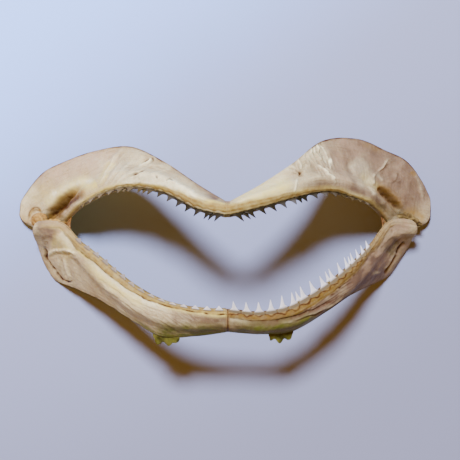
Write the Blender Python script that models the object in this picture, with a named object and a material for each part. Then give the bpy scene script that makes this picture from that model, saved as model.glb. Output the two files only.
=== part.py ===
# The dried jaw of a small requiem shark, life size, lying on its back with the mouth spread.
# It is seen from above: +X is the viewer's right, +Y the viewer's up, +Z out of the mouth.
# Lengths are in millimetres until placed() turns them into metres.

import bpy
import bmesh
import numpy as np

METRES = 0.001
GAP = 0.3                    # clearance between neighbouring pieces
CENTRE_X = 1.2               # moves the whole jaw so that its box is centred on the origin
CENTRE_Y = -0.2
SYMPHYSIS_HALF = 0.8         # from the mid-plane to the end of each half
SYMPHYSIS_SHARE = 0.94       # size of the ligament between them beside those ends
STATIONS = 25                # rings along each half
STEP = 0.01                  # how far apart two points are taken for a direction
GUM_SAMPLES = 400            # points that measure the length of the gum
MOST_BAR = 0.8               # the bar is at most this share of the plate's height
RING = (0.0, 0.035, 0.10, 0.19, 0.28, 0.38, 0.55, 0.77, 0.94, 1.0)

# Each half has nine evenly numbered stations from the symphysis to the joint. gum is the edge that
# carries the teeth and rim is the free edge; each point is (outward from the mid-plane, y, height).
# labial is how far the tooth-bearing bar swells forward, and groove how deep the fold behind it is.
# tooth_places are lengths along the gum, and tooth_height the crowns there, both smoothed from the
# first tooth to the last. lean is towards the joint and back is towards the throat, both as a share
# of the upright direction.
UPPER_LEFT = {
    "side": -1,
    "gum": [(0.0, 9.0, 65.0), (11.3, 11.6, 62.0), (23.4, 17.5, 55.5), (35.8, 19.8, 46.5),
            (46.7, 17.9, 38.5), (55.3, 14.0, 31.0), (61.9, 9.4, 19.0), (68.6, 4.5, 10.0),
            (78.0, 5.0, 8.0)],
    "rim": [(0.0, 13.9, 61.0), (11.1, 20.9, 55.0), (23.6, 29.5, 46.0), (36.8, 35.9, 35.0),
            (51.2, 35.2, 24.0), (63.8, 32.0, 15.0), (75.4, 27.3, 7.0), (85.0, 16.9, -1.0),
            (85.8, 8.6, 3.6)],
    "labial": [1.6, 2.0, 2.4, 2.4, 2.2, 2.0, 1.6, 1.2, 0.8],
    "groove": [0.0, 0.0, 0.0, 0.0, 0.2, 1.4, 3.4, 2.4, 0.3],
    "teeth": 15, "tooth_places": (3.2, 21.7, 44.2, 68.3), "tooth_height": (3.5, 2.9, 2.9, 1.5),
    "tooth_lean": (0.38, 0.60), "tooth_back": (0.0, 0.0),
}
UPPER_RIGHT = {
    "side": 1,
    "gum": [(0.0, 9.0, 65.0), (11.4, 11.8, 62.0), (23.5, 15.4, 55.5), (35.9, 18.1, 46.5),
            (46.0, 16.5, 38.5), (54.2, 14.0, 31.0), (60.5, 9.6, 19.5), (67.0, 5.0, 10.5),
            (76.0, 5.0, 8.0)],
    "rim": [(0.0, 13.9, 61.0), (10.9, 20.0, 55.0), (23.7, 28.7, 46.0), (35.8, 38.1, 35.0),
            (49.9, 39.8, 25.0), (62.1, 36.1, 16.0), (73.2, 31.3, 8.0), (82.9, 18.4, -1.0),
            (83.0, 7.8, 3.6)],
    "labial": [1.6, 2.0, 2.4, 2.4, 2.2, 1.8, 1.4, 1.2, 0.8],
    "groove": [0.0, 0.0, 0.0, 0.0, 0.2, 1.0, 2.8, 1.8, 0.3],
    "teeth": 14, "tooth_places": (3.5, 22.8, 44.6, 64.6), "tooth_height": (4.3, 2.9, 2.3, 1.2),
    "tooth_lean": (0.45, 0.60), "tooth_back": (0.0, 0.0),
}
LOWER_LEFT = {
    "side": -1,
    "gum": [(0.0, -24.8, 53.0), (10.9, -24.3, 52.0), (22.0, -22.2, 48.7), (32.7, -17.9, 43.5),
            (41.9, -11.6, 38.0), (50.0, -5.3, 33.0), (57.2, -0.2, 28.5), (65.4, 6.9, 23.0),
            (76.3, 7.3, 18.0)],
    "rim": [(0.0, -33.1, 46.0), (11.8, -34.9, 44.5), (25.1, -35.5, 40.0), (38.4, -28.9, 31.0),
            (50.3, -22.8, 21.0), (61.5, -18.9, 9.5), (72.2, -15.1, -1.0), (77.0, -4.3, 0.6),
            (78.4, 4.7, 14.0)],
    "labial": [1.2, 1.4, 1.6, 1.8, 1.8, 1.6, 1.2, 0.8, 0.6],
    "groove": [0.0] * 9,
    "teeth": 15, "tooth_places": (3.1, 23.7, 46.0, 69.7), "tooth_height": (2.2, 1.5, 1.3, 1.2),
    "tooth_lean": (0.05, 0.30), "tooth_back": (0.0, 0.1),
}
LOWER_RIGHT = {
    "side": 1,
    "gum": [(0.0, -24.8, 53.0), (11.0, -25.9, 52.0), (22.1, -24.4, 48.7), (32.4, -19.4, 43.5),
            (41.2, -13.8, 38.0), (49.0, -7.5, 33.0), (56.0, -0.6, 28.0), (63.6, 7.6, 23.0),
            (74.3, 7.3, 18.0)],
    "rim": [(0.0, -33.1, 46.0), (11.6, -34.0, 44.5), (23.7, -33.6, 40.0), (37.7, -26.8, 31.0),
            (48.0, -21.1, 21.0), (58.1, -17.3, 10.0), (67.1, -13.2, -1.0), (73.7, -2.3, 0.6),
            (76.0, 5.1, 14.0)],
    "labial": [1.2, 1.4, 1.6, 1.8, 1.8, 1.6, 1.2, 0.8, 0.6],
    "groove": [0.0] * 9,
    "teeth": 16, "tooth_places": (2.7, 26.1, 50.4, 67.0), "tooth_height": (4.7, 5.7, 4.5, 3.5),
    "tooth_lean": (-0.10, 0.65), "tooth_back": (0.1, 0.8),
}

# What both halves of a jaw share at the same nine stations: the bar's width, how far its shelf
# stands out on the throat side, the thickness of the plate and how far the plate bows forward.
# crest places the swelling across the bar.
UPPER_JAW = {
    "bar_width": [5.0, 6.5, 7.5, 8.0, 8.0, 7.5, 6.5, 6.0, 5.0],
    "lingual": [3.6, 3.8, 4.0, 4.0, 3.8, 3.2, 2.2, 1.2, 0.6],
    "plate": [2.6, 2.6, 2.4, 2.2, 2.0, 2.0, 2.2, 2.4, 2.6],
    "crest": 0.55,
    "crown": [0.0, 0.2, 0.4, 0.2, -0.4, -0.6, 0.4, 0.6, 0.0],
}
LOWER_JAW = {
    "bar_width": [6.5, 7.0, 7.5, 8.0, 8.0, 8.0, 7.5, 7.0, 6.0],
    "lingual": [3.2, 3.4, 3.6, 3.6, 3.2, 2.4, 1.2, 0.5, 0.2],
    "plate": [2.8, 2.8, 2.8, 2.6, 2.4, 2.2, 2.2, 2.6, 3.2],
    "crest": 0.85,
    "crown": [0.4, 0.6, 0.8, 1.0, 1.2, 1.0, 0.8, 1.6, 0.6],
}
GUM_ROUND = 1.2              # radius that rounds the tooth-bearing edge
GUM_SLOPE = 3.0              # how slowly the lingual shelf thickens below that edge
THINNEST = 1.5               # least thickness of a plate
CREST_SPREAD = 0.5           # half-widths below are shares of the bar's width
SHELF_EDGE = 0.14
GROOVE_PLACE = 1.15
GROOVE_SPREAD = 0.30
JOINT_TAPER = ((0.99, 0.85), (1.0, 0.5))    # extra end stations and how far each closes in
LAST_FULL_STATION = 0.97
TOOTH_SINK = 1.3             # how deep a tooth's root sits in the gum
TOOTH_THICK = 1.3
TOOTH_FILL = 0.86            # share of the spacing that a tooth's base fills
# Rings of a tooth: height as a share of the crown (none is the root), width and depth as shares.
TOOTH_RINGS = ((None, 0.96, 1.0), (0.10, 0.88, 0.9), (0.34, 0.42, 0.6))

# Lumps of dried tissue: place, the way each faces, the way it is long, its three radii and its
# lobes. x here is to the viewer's right.
JOINT_LEFT = {"centre": (-75.6, 7.6, 11.6), "faces": (-0.3, -0.1, 1.0), "along": (1.0, 0.2, 0.0),
              "radii": (5.6, 4.6, 2.6), "lobes": 0.06, "count": 5}
JOINT_RIGHT = {"centre": (72.4, 8.4, 11.6), "faces": (0.3, -0.1, 1.0), "along": (1.0, -0.3, 0.0),
               "radii": (5.4, 3.8, 2.6), "lobes": 0.10, "count": 4}
REMNANT_LEFT = {"centre": (-23.4, -36.6, 38.6), "faces": (-0.1, -0.5, 0.8),
                "along": (1.0, 0.0, 0.0), "radii": (3.0, 3.4, 1.3), "lobes": 0.14, "count": 5}
REMNANT_RIGHT = {"centre": (19.6, -35.2, 40.0), "faces": (0.1, -0.5, 0.8),
                 "along": (1.0, 0.1, 0.0), "radii": (3.8, 2.4, 1.2), "lobes": 0.16, "count": 3}

CARTILAGE = ((0.74, 0.66, 0.53), 0.55)
LOWER_CARTILAGE = ((0.72, 0.65, 0.52), 0.50)
LIGAMENT = ((0.52, 0.34, 0.14), 0.45)
TISSUE = ((0.42, 0.36, 0.08), 0.40)


def along(values, t):
    """Smooth value of a station list at t, from 0 at the symphysis to 1 at the joint."""
    points = np.asarray(values, dtype=float)
    last = len(points) - 1
    place = min(max(t, 0.0), 1.0) * last
    i = min(int(place), last - 1)
    u = place - i
    p1, p2 = points[i], points[i + 1]
    p0 = points[i - 1] if i > 0 else 2 * p1 - p2
    p3 = points[i + 2] if i + 2 <= last else 2 * p2 - p1
    return 0.5 * (2 * p1 + (p2 - p0) * u + (2 * p0 - 5 * p1 + 4 * p2 - p3) * u ** 2
                  + (3 * p1 - p0 - 3 * p2 + p3) * u ** 3)


def unit(vector):
    return vector / np.linalg.norm(vector)


def frame_at(half, t):
    """Gum point, direction to the rim, labial normal, and distance from gum to rim."""
    gum, rim = along(half["gum"], t), along(half["rim"], t)
    ahead, behind = min(t + STEP, 1.0), max(t - STEP, 0.0)
    middle = [0.5 * (along(half["gum"], k) + along(half["rim"], k)) for k in (behind, ahead)]
    run = unit(middle[1] - middle[0])
    height = np.linalg.norm(rim - gum)
    down = (rim - gum) / height
    normal = unit(np.cross(run, down))
    if normal[2] < 0:
        normal = -normal
    return gum, down, normal, height


def bump(s, centre, width):
    return np.exp(-((s - centre) / width) ** 2)


def section(half, jaw, t, height, share, grow=0.0):
    """Distance from the gum, then labial and lingual surface heights, at a share of the way
    from the gum to the rim. grow adds a clearance all round."""
    s = share * height
    bar = min(along(jaw["bar_width"], t), MOST_BAR * height)
    plate = along(jaw["plate"], t)
    crown = along(jaw["crown"], t) * np.sin(np.pi * share)
    fall = 1.0 / (1.0 + np.exp((s - bar) / (SHELF_EDGE * bar)))
    labial = plate / 2 + crown
    labial += along(half["labial"], t) * bump(s, jaw["crest"] * bar, CREST_SPREAD * bar)
    labial -= along(half["groove"], t) * bump(s, GROOVE_PLACE * bar, GROOVE_SPREAD * bar)
    shelf = along(jaw["lingual"], t) * fall * (1 - np.exp(-s / GUM_SLOPE))
    lingual = min(crown - plate / 2 - shelf, labial - THINNEST)
    near_gum = min(s / GUM_ROUND, 1.0)
    near_rim = min((height - s) / (0.5 * plate), 1.0)
    rounding = np.sqrt(max(1 - (1 - near_gum) ** 2, 0)) * np.sqrt(max(1 - (1 - near_rim) ** 2, 0))
    middle, half_thick = (labial + lingual) / 2, (labial - lingual) / 2 * rounding + grow
    return s + grow * (2 * share - 1), middle + half_thick, middle - half_thick


def ring_at(half, jaw, t, grow=0.0):
    """One closed ring: labial side from gum to rim, then the lingual side back."""
    gum, down, normal, height = frame_at(half, t)
    front, back = [], []
    for share in RING:
        s, labial, lingual = section(half, jaw, t, height, share, grow)
        front.append(gum + down * s + normal * labial)
        back.append(gum + down * s + normal * lingual)
    if grow == 0.0:
        back = back[1:-1]
    return np.array(front + back[::-1])


def placed(half, points):
    """World points in metres, mirrored to the half's own side."""
    points = np.array(points, dtype=float)
    points[..., 0] = points[..., 0] * half["side"] + CENTRE_X
    points[..., 1] += CENTRE_Y
    return points * METRES


def rest_on_floor(form):
    """Cuts the mesh level with the floor, which leaves small flats where it rests."""
    parts = form.verts[:] + form.edges[:] + form.faces[:]
    cut = bmesh.ops.bisect_plane(form, geom=parts, plane_co=(0, 0, 0), plane_no=(0, 0, 1),
                                 clear_inner=True)
    rim = [item for item in cut["geom_cut"] if isinstance(item, bmesh.types.BMEdge)]
    if rim:
        bmesh.ops.holes_fill(form, edges=rim)


def mesh_object(name, points, faces, finish):
    mesh = bpy.data.meshes.new(name)
    mesh.from_pydata([tuple(p) for p in points], [], faces)
    form = bmesh.new()
    form.from_mesh(mesh)
    rest_on_floor(form)
    bmesh.ops.recalc_face_normals(form, faces=form.faces)
    bmesh.ops.triangulate(form, faces=form.faces)
    form.to_mesh(mesh)
    form.free()
    mesh.shade_smooth()
    mesh.materials.append(finish)
    thing = bpy.data.objects.new(name, mesh)
    bpy.context.scene.collection.objects.link(thing)
    return thing


def loft_faces(rings, size):
    """Quads between rings of equal size, with a fan to one extra point at each end."""
    faces = []
    for i in range(rings - 1):
        for j in range(size):
            k = (j + 1) % size
            faces.append((i * size + j, i * size + k, (i + 1) * size + k, (i + 1) * size + j))
    start, end = rings * size, rings * size + 1
    tail = (rings - 1) * size
    for j in range(size):
        k = (j + 1) % size
        faces.append((k, j, start))
        faces.append((tail + j, tail + k, end))
    return faces


def shrunk(ring, share):
    centre = ring.mean(axis=0)
    return centre + (ring - centre) * share


def cartilage(name, half, jaw, finish, grow=0.0):
    """One half: rings from a flat end at the symphysis to a rounded end at the joint."""
    rings = [ring_at(half, jaw, t, grow) for t in np.linspace(0.0, LAST_FULL_STATION, STATIONS)]
    rings[0][:, 0] = SYMPHYSIS_HALF - grow
    rings += [shrunk(ring_at(half, jaw, t, grow), share) for t, share in JOINT_TAPER]
    ends = [rings[0].mean(axis=0), rings[-1].mean(axis=0)]
    points = np.concatenate(rings + [np.array(ends)])
    return mesh_object(name, placed(half, points), loft_faces(len(rings), len(rings[0])), finish)


def tooth(centre, run, thick, tip_way, width, height):
    """A thorn on a broad base: three six-sided rings and a tip."""
    points, faces = [], []
    for rise, wide, deep in TOOTH_RINGS:
        rise = -TOOTH_SINK if rise is None else rise * height
        for k in range(6):
            angle = np.pi * k / 3
            points.append(centre + tip_way * rise + run * (0.5 * width * wide * np.cos(angle))
                          + thick * (0.5 * TOOTH_THICK * deep * np.sin(angle)))
    points.append(centre + tip_way * height)
    for level in range(len(TOOTH_RINGS) - 1):
        for k in range(6):
            a, b = level * 6 + k, level * 6 + (k + 1) % 6
            faces.append((a, b, b + 6, a + 6))
    top = (len(TOOTH_RINGS) - 1) * 6
    faces += [(top + k, top + (k + 1) % 6, top + 6) for k in range(6)]
    faces.append(tuple(reversed(range(6))))
    return points, faces


def tooth_stations(half):
    """Where each tooth stands, as t, and the spacing there along the gum."""
    steps = np.linspace(0.0, 1.0, GUM_SAMPLES)
    line = np.array([along(half["gum"], t) for t in steps])
    length = np.concatenate([[0.0], np.cumsum(np.linalg.norm(np.diff(line, axis=0), axis=1))])
    wanted = [along(half["tooth_places"], share) for share in np.linspace(0.0, 1.0, half["teeth"])]
    return np.interp(wanted, length, steps), np.gradient(wanted)


def tooth_row(name, half, jaw, finish):
    points, faces = [], []
    for number, (t, spacing) in enumerate(zip(*tooth_stations(half))):
        share = number / (half["teeth"] - 1)
        gum, down, normal, height = frame_at(half, t)
        _, labial, lingual = section(half, jaw, t, height, GUM_ROUND / height)
        line = unit(along(half["gum"], t + STEP) - along(half["gum"], t - STEP))
        lean, back, tall = [along(half[key], share) for key in ("tooth_lean", "tooth_back", "tooth_height")]
        tip_way = unit(-down + line * lean - normal * back)
        middle = 0.5 * (labial + lingual)
        some, sides = tooth(gum + normal * middle, line, normal, tip_way, spacing * TOOTH_FILL, tall)
        faces += [tuple(len(points) + k for k in side) for side in sides]
        points += some
    row = mesh_object(name, placed(half, points), faces, finish)
    row.hide_render = True
    row.display_type = "WIRE"
    return row


def material(name, look):
    colour, roughness = look
    finish = bpy.data.materials.new(name)
    finish.use_nodes = True
    shader = finish.node_tree.nodes["Principled BSDF"]
    shader.inputs["Base Color"].default_value = (*colour, 1.0)
    shader.inputs["Roughness"].default_value = roughness
    shader.inputs["Metallic"].default_value = 0.0
    return finish


def jaw_half(name, half, jaw, finish):
    body = cartilage(name, half, jaw, finish)
    row = tooth_row(name + "_teeth_cutter", half, jaw, finish)
    union = body.modifiers.new("teeth", "BOOLEAN")
    union.operation = "UNION"
    union.solver = "EXACT"
    union.object = row
    return body


def symphysis(name, left, right, jaw, finish):
    """The ligament between two halves: the mean of their end rings, a little smaller."""
    ring = 0.5 * (ring_at(left, jaw, 0.0) + ring_at(right, jaw, 0.0))
    ring = shrunk(ring, SYMPHYSIS_SHARE)
    rings = []
    for x in (-(SYMPHYSIS_HALF - GAP), SYMPHYSIS_HALF - GAP):
        slice_ring = ring.copy()
        slice_ring[:, 0] = x
        rings.append(slice_ring)
    points = np.concatenate(rings + [np.array([rings[0].mean(axis=0), rings[1].mean(axis=0)])])
    middle = {"side": 1}
    return mesh_object(name, placed(middle, points), loft_faces(2, len(ring)), finish)


def grown_cutter(name, half, jaw):
    """A half's body with the clearance added, to cut what grows against it."""
    cutter = cartilage(name, half, jaw, None, GAP)
    cutter.hide_render = True
    cutter.display_type = "WIRE"
    return cutter


def lump(name, shape, cutters, finish):
    """A rounded lump of dried tissue with shallow lobes, cut back from its neighbours."""
    form = bmesh.new()
    bmesh.ops.create_icosphere(form, subdivisions=3, radius=1.0)
    out = unit(np.array(shape["faces"], dtype=float))
    long_way = unit(np.cross(np.cross(out, shape["along"]), out))
    side_way = np.cross(out, long_way)
    for vert in form.verts:
        x, y, z = vert.co
        lobes = 1 + shape["lobes"] * np.sin(shape["count"] * np.arctan2(y, x)) * (1 - abs(z))
        spread = long_way * x * shape["radii"][0] + side_way * y * shape["radii"][1]
        point = np.array(shape["centre"]) + spread * lobes + out * z * shape["radii"][2]
        vert.co = placed({"side": 1}, point)
    mesh = bpy.data.meshes.new(name)
    bmesh.ops.recalc_face_normals(form, faces=form.faces)
    form.to_mesh(mesh)
    form.free()
    mesh.shade_smooth()
    mesh.materials.append(finish)
    thing = bpy.data.objects.new(name, mesh)
    bpy.context.scene.collection.objects.link(thing)
    for cutter in cutters:
        cut = thing.modifiers.new(cutter.name, "BOOLEAN")
        cut.operation = "DIFFERENCE"
        cut.solver = "EXACT"
        cut.object = cutter
    return thing


def main():
    for thing in list(bpy.data.objects):
        bpy.data.objects.remove(thing, do_unlink=True)
    upper = material("upper_cartilage", CARTILAGE)
    lower = material("lower_cartilage", LOWER_CARTILAGE)
    ligament = material("ligament", LIGAMENT)
    jaw_half("upper_jaw_left", UPPER_LEFT, UPPER_JAW, upper)
    jaw_half("upper_jaw_right", UPPER_RIGHT, UPPER_JAW, upper)
    jaw_half("lower_jaw_left", LOWER_LEFT, LOWER_JAW, lower)
    jaw_half("lower_jaw_right", LOWER_RIGHT, LOWER_JAW, lower)
    symphysis("upper_symphysis", UPPER_LEFT, UPPER_RIGHT, UPPER_JAW, ligament)
    symphysis("lower_symphysis", LOWER_LEFT, LOWER_RIGHT, LOWER_JAW, ligament)
    cut_upper_left = grown_cutter("upper_left_cutter", UPPER_LEFT, UPPER_JAW)
    cut_upper_right = grown_cutter("upper_right_cutter", UPPER_RIGHT, UPPER_JAW)
    cut_lower_left = grown_cutter("lower_left_cutter", LOWER_LEFT, LOWER_JAW)
    cut_lower_right = grown_cutter("lower_right_cutter", LOWER_RIGHT, LOWER_JAW)
    lump("left_joint_ligament", JOINT_LEFT, [cut_upper_left, cut_lower_left], ligament)
    lump("right_joint_ligament", JOINT_RIGHT, [cut_upper_right, cut_lower_right], ligament)
    tissue = material("dried_tissue", TISSUE)
    lump("left_tissue_remnant", REMNANT_LEFT, [cut_lower_left], tissue)
    lump("right_tissue_remnant", REMNANT_RIGHT, [cut_lower_right], tissue)


main()
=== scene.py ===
import math

import bpy
import numpy as np
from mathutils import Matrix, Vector


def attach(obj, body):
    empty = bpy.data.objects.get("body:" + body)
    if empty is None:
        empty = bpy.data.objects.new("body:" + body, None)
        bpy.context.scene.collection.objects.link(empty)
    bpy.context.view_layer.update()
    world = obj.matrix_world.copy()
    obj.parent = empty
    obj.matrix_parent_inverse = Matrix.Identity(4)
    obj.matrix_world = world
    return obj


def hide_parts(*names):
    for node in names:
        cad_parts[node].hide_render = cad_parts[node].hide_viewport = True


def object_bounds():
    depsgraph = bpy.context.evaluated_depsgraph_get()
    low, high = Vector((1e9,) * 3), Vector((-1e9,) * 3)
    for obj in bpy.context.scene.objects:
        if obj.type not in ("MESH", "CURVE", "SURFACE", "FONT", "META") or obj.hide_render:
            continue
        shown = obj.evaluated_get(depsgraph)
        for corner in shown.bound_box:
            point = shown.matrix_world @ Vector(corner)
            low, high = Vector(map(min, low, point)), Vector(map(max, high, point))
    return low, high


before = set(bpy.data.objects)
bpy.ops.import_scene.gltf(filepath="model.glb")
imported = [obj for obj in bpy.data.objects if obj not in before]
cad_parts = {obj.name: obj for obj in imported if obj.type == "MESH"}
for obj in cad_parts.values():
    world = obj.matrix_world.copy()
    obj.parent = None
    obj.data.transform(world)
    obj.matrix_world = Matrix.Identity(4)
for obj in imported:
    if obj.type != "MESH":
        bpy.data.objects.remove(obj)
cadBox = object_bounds()
print("frame loaded")

# Lengths are in millimetres until a mesh is written. +X is the viewer's right, +Y the viewer's up
# and +Z comes out of the mouth. A pair in a "line" is a place in the 460 x 460 picture, which the
# camera at the end sees at the same place.
metres = 0.001
view = {"middle": (2.0, 4.1), "height": 440.0, "focal": 1065.0, "picture": 460, "pixel": 0.39}
halfShift = (1.2, -0.2)

# The four halves, station by station from the symphysis to the joint. gum is the edge with the
# teeth, rim the free edge, and each point is (outward from the mid-plane, y, height).
# gumBand is the width in mm of the dried gum along the teeth, and lip that of its inner strip; the
# values from scallop to bandGlow say how strongly each of the gum's marks and colours shows: root
# is painted shade along the teeth's roots, the gum's shade value painted shade over the band, and its
# olive value partly the gum's own olive and partly painted shade.
# Teeth stand toothPlaces mm along the gum, and each list on teeth runs from the first to the last;
# the teeth's shading value darkens them with painted shade.
upperLeft = {
    "name": "upper_left", "node": "upper_jaw_left", "side": -1, "seed": 10,
    "gum": [(0.0, 9.0, 65.0), (11.3, 11.6, 62.0), (23.4, 17.5, 55.5), (35.8, 19.8, 46.5),
            (46.7, 17.9, 38.5), (55.3, 14.0, 31.0), (61.9, 9.4, 19.0), (68.6, 4.5, 10.0),
            (78.0, 5.0, 8.0)],
    "rim": [(0.0, 13.9, 61.0), (11.1, 20.9, 55.0), (23.6, 29.5, 46.0), (36.8, 35.9, 35.0),
            (51.2, 35.2, 24.0), (63.8, 32.0, 15.0), (75.4, 27.3, 7.0), (85.0, 16.9, -1.0),
            (85.8, 8.6, 3.6)],
    "labial": [1.6, 2.0, 2.4, 2.4, 2.2, 2.0, 1.6, 1.2, 0.8],
    "groove": [0.0, 0.0, 0.0, 0.0, 0.2, 1.4, 3.4, 2.4, 0.3],
    "gumBand": [4.5, 3.8, 2.8, 1.9, 1.4, 1.1, 0.9, 0.6, 0.2],
    "lip": [1.2, 1.2, 1.1, 1.0, 0.9, 0.8, 0.6, 0.3, 0.1],
    "scallop": 0.15, "golden": 0.50, "gumOliveAndShade": 0.12, "root": (0.9, 0.9, 0.6, 0.1, 0.0),
    "gumTone": (1.0, 1.0, 0.85, 0.5, 0.0), "gumPaintedShade": 0.10,
    "lipTone": 0.60, "lipLine": 0.5, "bandLine": 0.35, "bandGlow": 0.9,
    "roll": [0.2, 0.5, 0.6, 0.4, 0.1, 0.0, 0.0, 0.0, 0.0],
    "teeth": 15, "toothPlaces": (3.2, 21.7, 44.2, 68.3), "toothHeight": (3.9, 2.9, 2.0, 1.1),
    "toothLean": (0.38, 0.60), "toothBack": (0.0, 0.0), "toothShading": (1.0, 1.0, 0.85, 0.45, 0.25),
    "toothGrey": (0.0, 0.0), "toothBeige": (0.0, 0.3, 1.0, 1.0, 1.0), "doubles": (1, 8, 10),
}
upperRight = {
    "name": "upper_right", "node": "upper_jaw_right", "side": 1, "seed": 20,
    "gum": [(0.0, 9.0, 65.0), (11.4, 11.8, 62.0), (23.5, 15.4, 55.5), (35.9, 18.1, 46.5),
            (46.0, 16.5, 38.5), (54.2, 14.0, 31.0), (60.5, 9.6, 19.5), (67.0, 5.0, 10.5),
            (76.0, 5.0, 8.0)],
    "rim": [(0.0, 13.9, 61.0), (10.9, 20.0, 55.0), (23.7, 28.7, 46.0), (35.8, 38.1, 35.0),
            (49.9, 39.8, 25.0), (62.1, 36.1, 16.0), (73.2, 31.3, 8.0), (82.9, 18.4, -1.0),
            (83.0, 7.8, 3.6)],
    "labial": [1.6, 2.0, 2.4, 2.4, 2.2, 1.8, 1.4, 1.2, 0.8],
    "groove": [0.0, 0.0, 0.0, 0.0, 0.2, 1.0, 2.8, 1.8, 0.3],
    "gumBand": [4.4, 3.6, 2.7, 2.0, 1.5, 1.2, 0.9, 0.6, 0.2],
    "lip": [1.2, 1.2, 1.1, 1.0, 0.9, 0.8, 0.6, 0.3, 0.1],
    "scallop": 0.15, "golden": 0.50, "gumOliveAndShade": 0.12, "root": (0.9, 0.95, 0.9, 0.3, 0.0),
    "gumTone": (1.0, 1.0, 1.0, 0.75, 0.2), "gumPaintedShade": 0.12,
    "lipTone": 0.20, "lipLine": 0.3, "bandLine": 0.15, "bandGlow": 0.45,
    "roll": [0.2, 0.5, 0.6, 0.4, 0.1, 0.0, 0.0, 0.0, 0.0],
    "teeth": 14, "toothPlaces": (3.5, 22.8, 44.6, 64.6), "toothHeight": (4.3, 3.0, 1.9, 0.7),
    "toothLean": (0.45, 0.60), "toothBack": (0.0, 0.0), "toothShading": (1.0, 1.0, 1.0, 0.75, 0.4),
    "toothGrey": (0.0, 0.0), "toothBeige": (0.0, 0.0, 0.3, 1.0, 1.0), "doubles": (1, 6),
}
lowerLeft = {
    "name": "lower_left", "node": "lower_jaw_left", "side": -1, "seed": 30,
    "gum": [(0.0, -24.8, 53.0), (10.9, -24.3, 52.0), (22.0, -22.2, 48.7), (32.7, -17.9, 43.5),
            (41.9, -11.6, 38.0), (50.0, -5.3, 33.0), (57.2, -0.2, 28.5), (65.4, 6.9, 23.0),
            (76.3, 7.3, 18.0)],
    "rim": [(0.0, -33.1, 46.0), (11.8, -34.9, 44.5), (25.1, -35.5, 40.0), (38.4, -28.9, 31.0),
            (50.3, -22.8, 21.0), (61.5, -18.9, 9.5), (72.2, -15.1, -1.0), (77.0, -4.3, 0.6),
            (78.4, 4.7, 14.0)],
    "labial": [1.2, 1.4, 1.6, 1.8, 1.8, 1.6, 1.2, 0.8, 0.6],
    "groove": [0.0] * 9,
    "gumBand": [1.5, 1.5, 1.6, 2.0, 2.6, 3.0, 3.2, 2.2, 0.8],
    "lip": [0.4, 0.4, 0.4, 0.4, 0.4, 0.4, 0.4, 0.3, 0.2],
    "scallop": 0.20, "golden": 0.35, "gumOliveAndShade": 0.14, "root": (0.0, 0.0, 0.0, 0.0, 0.0),
    "gumTone": (1.0, 1.0, 0.95, 0.85, 0.0), "gumPaintedShade": 0.12,
    "lipTone": 0.15, "lipLine": 0.3, "bandLine": 1.0, "bandGlow": 0.9,
    "roll": [0.4, 0.5, 0.5, 0.45, 0.3, 0.1, 0.0, 0.0, 0.0],
    "teeth": 15, "toothPlaces": (3.1, 23.7, 46.0, 69.7), "toothHeight": (2.2, 0.9, 1.8, 1.5),
    "toothLean": (0.05, 0.30), "toothBack": (0.1, 1.0), "toothShading": (0.0, 0.0, 0.0, 0.0, 0.0),
    "toothGrey": (0.0, 0.35), "toothBeige": (0.0, 0.6, 0.8, 0.8, 0.8), "doubles": (),
}
lowerRight = {
    "name": "lower_right", "node": "lower_jaw_right", "side": 1, "seed": 40,
    "gum": [(0.0, -24.8, 53.0), (11.0, -25.9, 52.0), (22.1, -24.4, 48.7), (32.4, -19.4, 43.5),
            (41.2, -13.8, 38.0), (49.0, -7.5, 33.0), (56.0, -0.6, 28.0), (63.6, 7.6, 23.0),
            (74.3, 7.3, 18.0)],
    "rim": [(0.0, -33.1, 46.0), (11.6, -34.0, 44.5), (23.7, -33.6, 40.0), (37.7, -26.8, 31.0),
            (48.0, -21.1, 21.0), (58.1, -17.3, 10.0), (67.1, -13.2, -1.0), (73.7, -2.3, 0.6),
            (76.0, 5.1, 14.0)],
    "labial": [1.2, 1.4, 1.6, 1.8, 1.8, 1.6, 1.2, 0.8, 0.6],
    "groove": [0.0] * 9,
    "gumBand": [2.7, 2.7, 3.0, 3.5, 3.8, 3.6, 3.0, 2.0, 0.8],
    "lip": [0.8, 0.85, 0.95, 1.0, 1.0, 0.9, 0.7, 0.5, 0.2],
    "scallop": 0.38, "golden": 0.0, "gumOliveAndShade": 0.22, "root": (0.0, 0.0, 0.0, 0.0, 0.0),
    "gumTone": (1.0, 1.0, 1.0, 0.8, 0.2), "gumPaintedShade": 0.50,
    "lipTone": 0.12, "lipLine": 1.0, "bandLine": 0.8, "bandGlow": 0.0,
    "roll": [0.4, 0.6, 0.8, 0.8, 0.6, 0.3, 0.0, 0.0, 0.0],
    "teeth": 16, "toothPlaces": (2.6, 25.2, 49.6, 66.0), "toothHeight": (4.9, 6.5, 5.6, 3.4),
    "toothLean": (-0.10, 0.65), "toothBack": (0.1, 0.8), "toothShading": (0.0, 0.0, 0.0, 0.0, 0.0),
    "toothGrey": (0.0, 0.0), "toothBeige": (0.0, 0.0, 0.0, 0.0, 0.0), "doubles": (6, 9, 12),
}
upperJaw = {
    "barWidth": [5.0, 6.5, 7.5, 8.0, 8.0, 7.5, 6.5, 6.0, 5.0],
    "lingual": [3.6, 3.8, 4.0, 4.0, 3.8, 3.2, 2.2, 1.2, 0.6],
    "plate": [2.6, 2.6, 2.4, 2.2, 2.0, 2.0, 2.2, 2.4, 2.6],
    "crest": 0.55, "crown": [0.0, 0.2, 0.4, 0.2, -0.4, -0.6, 0.4, 0.6, 0.0],
}
lowerJaw = {
    "barWidth": [6.5, 7.0, 7.5, 8.0, 8.0, 8.0, 7.5, 7.0, 6.0],
    "lingual": [3.2, 3.4, 3.6, 3.6, 3.2, 2.4, 1.2, 0.5, 0.2],
    "plate": [2.8, 2.8, 2.8, 2.6, 2.4, 2.2, 2.2, 2.6, 3.2],
    "crest": 0.85, "crown": [0.4, 0.6, 0.8, 1.0, 1.2, 1.0, 0.8, 1.6, 0.6],
}
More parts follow.
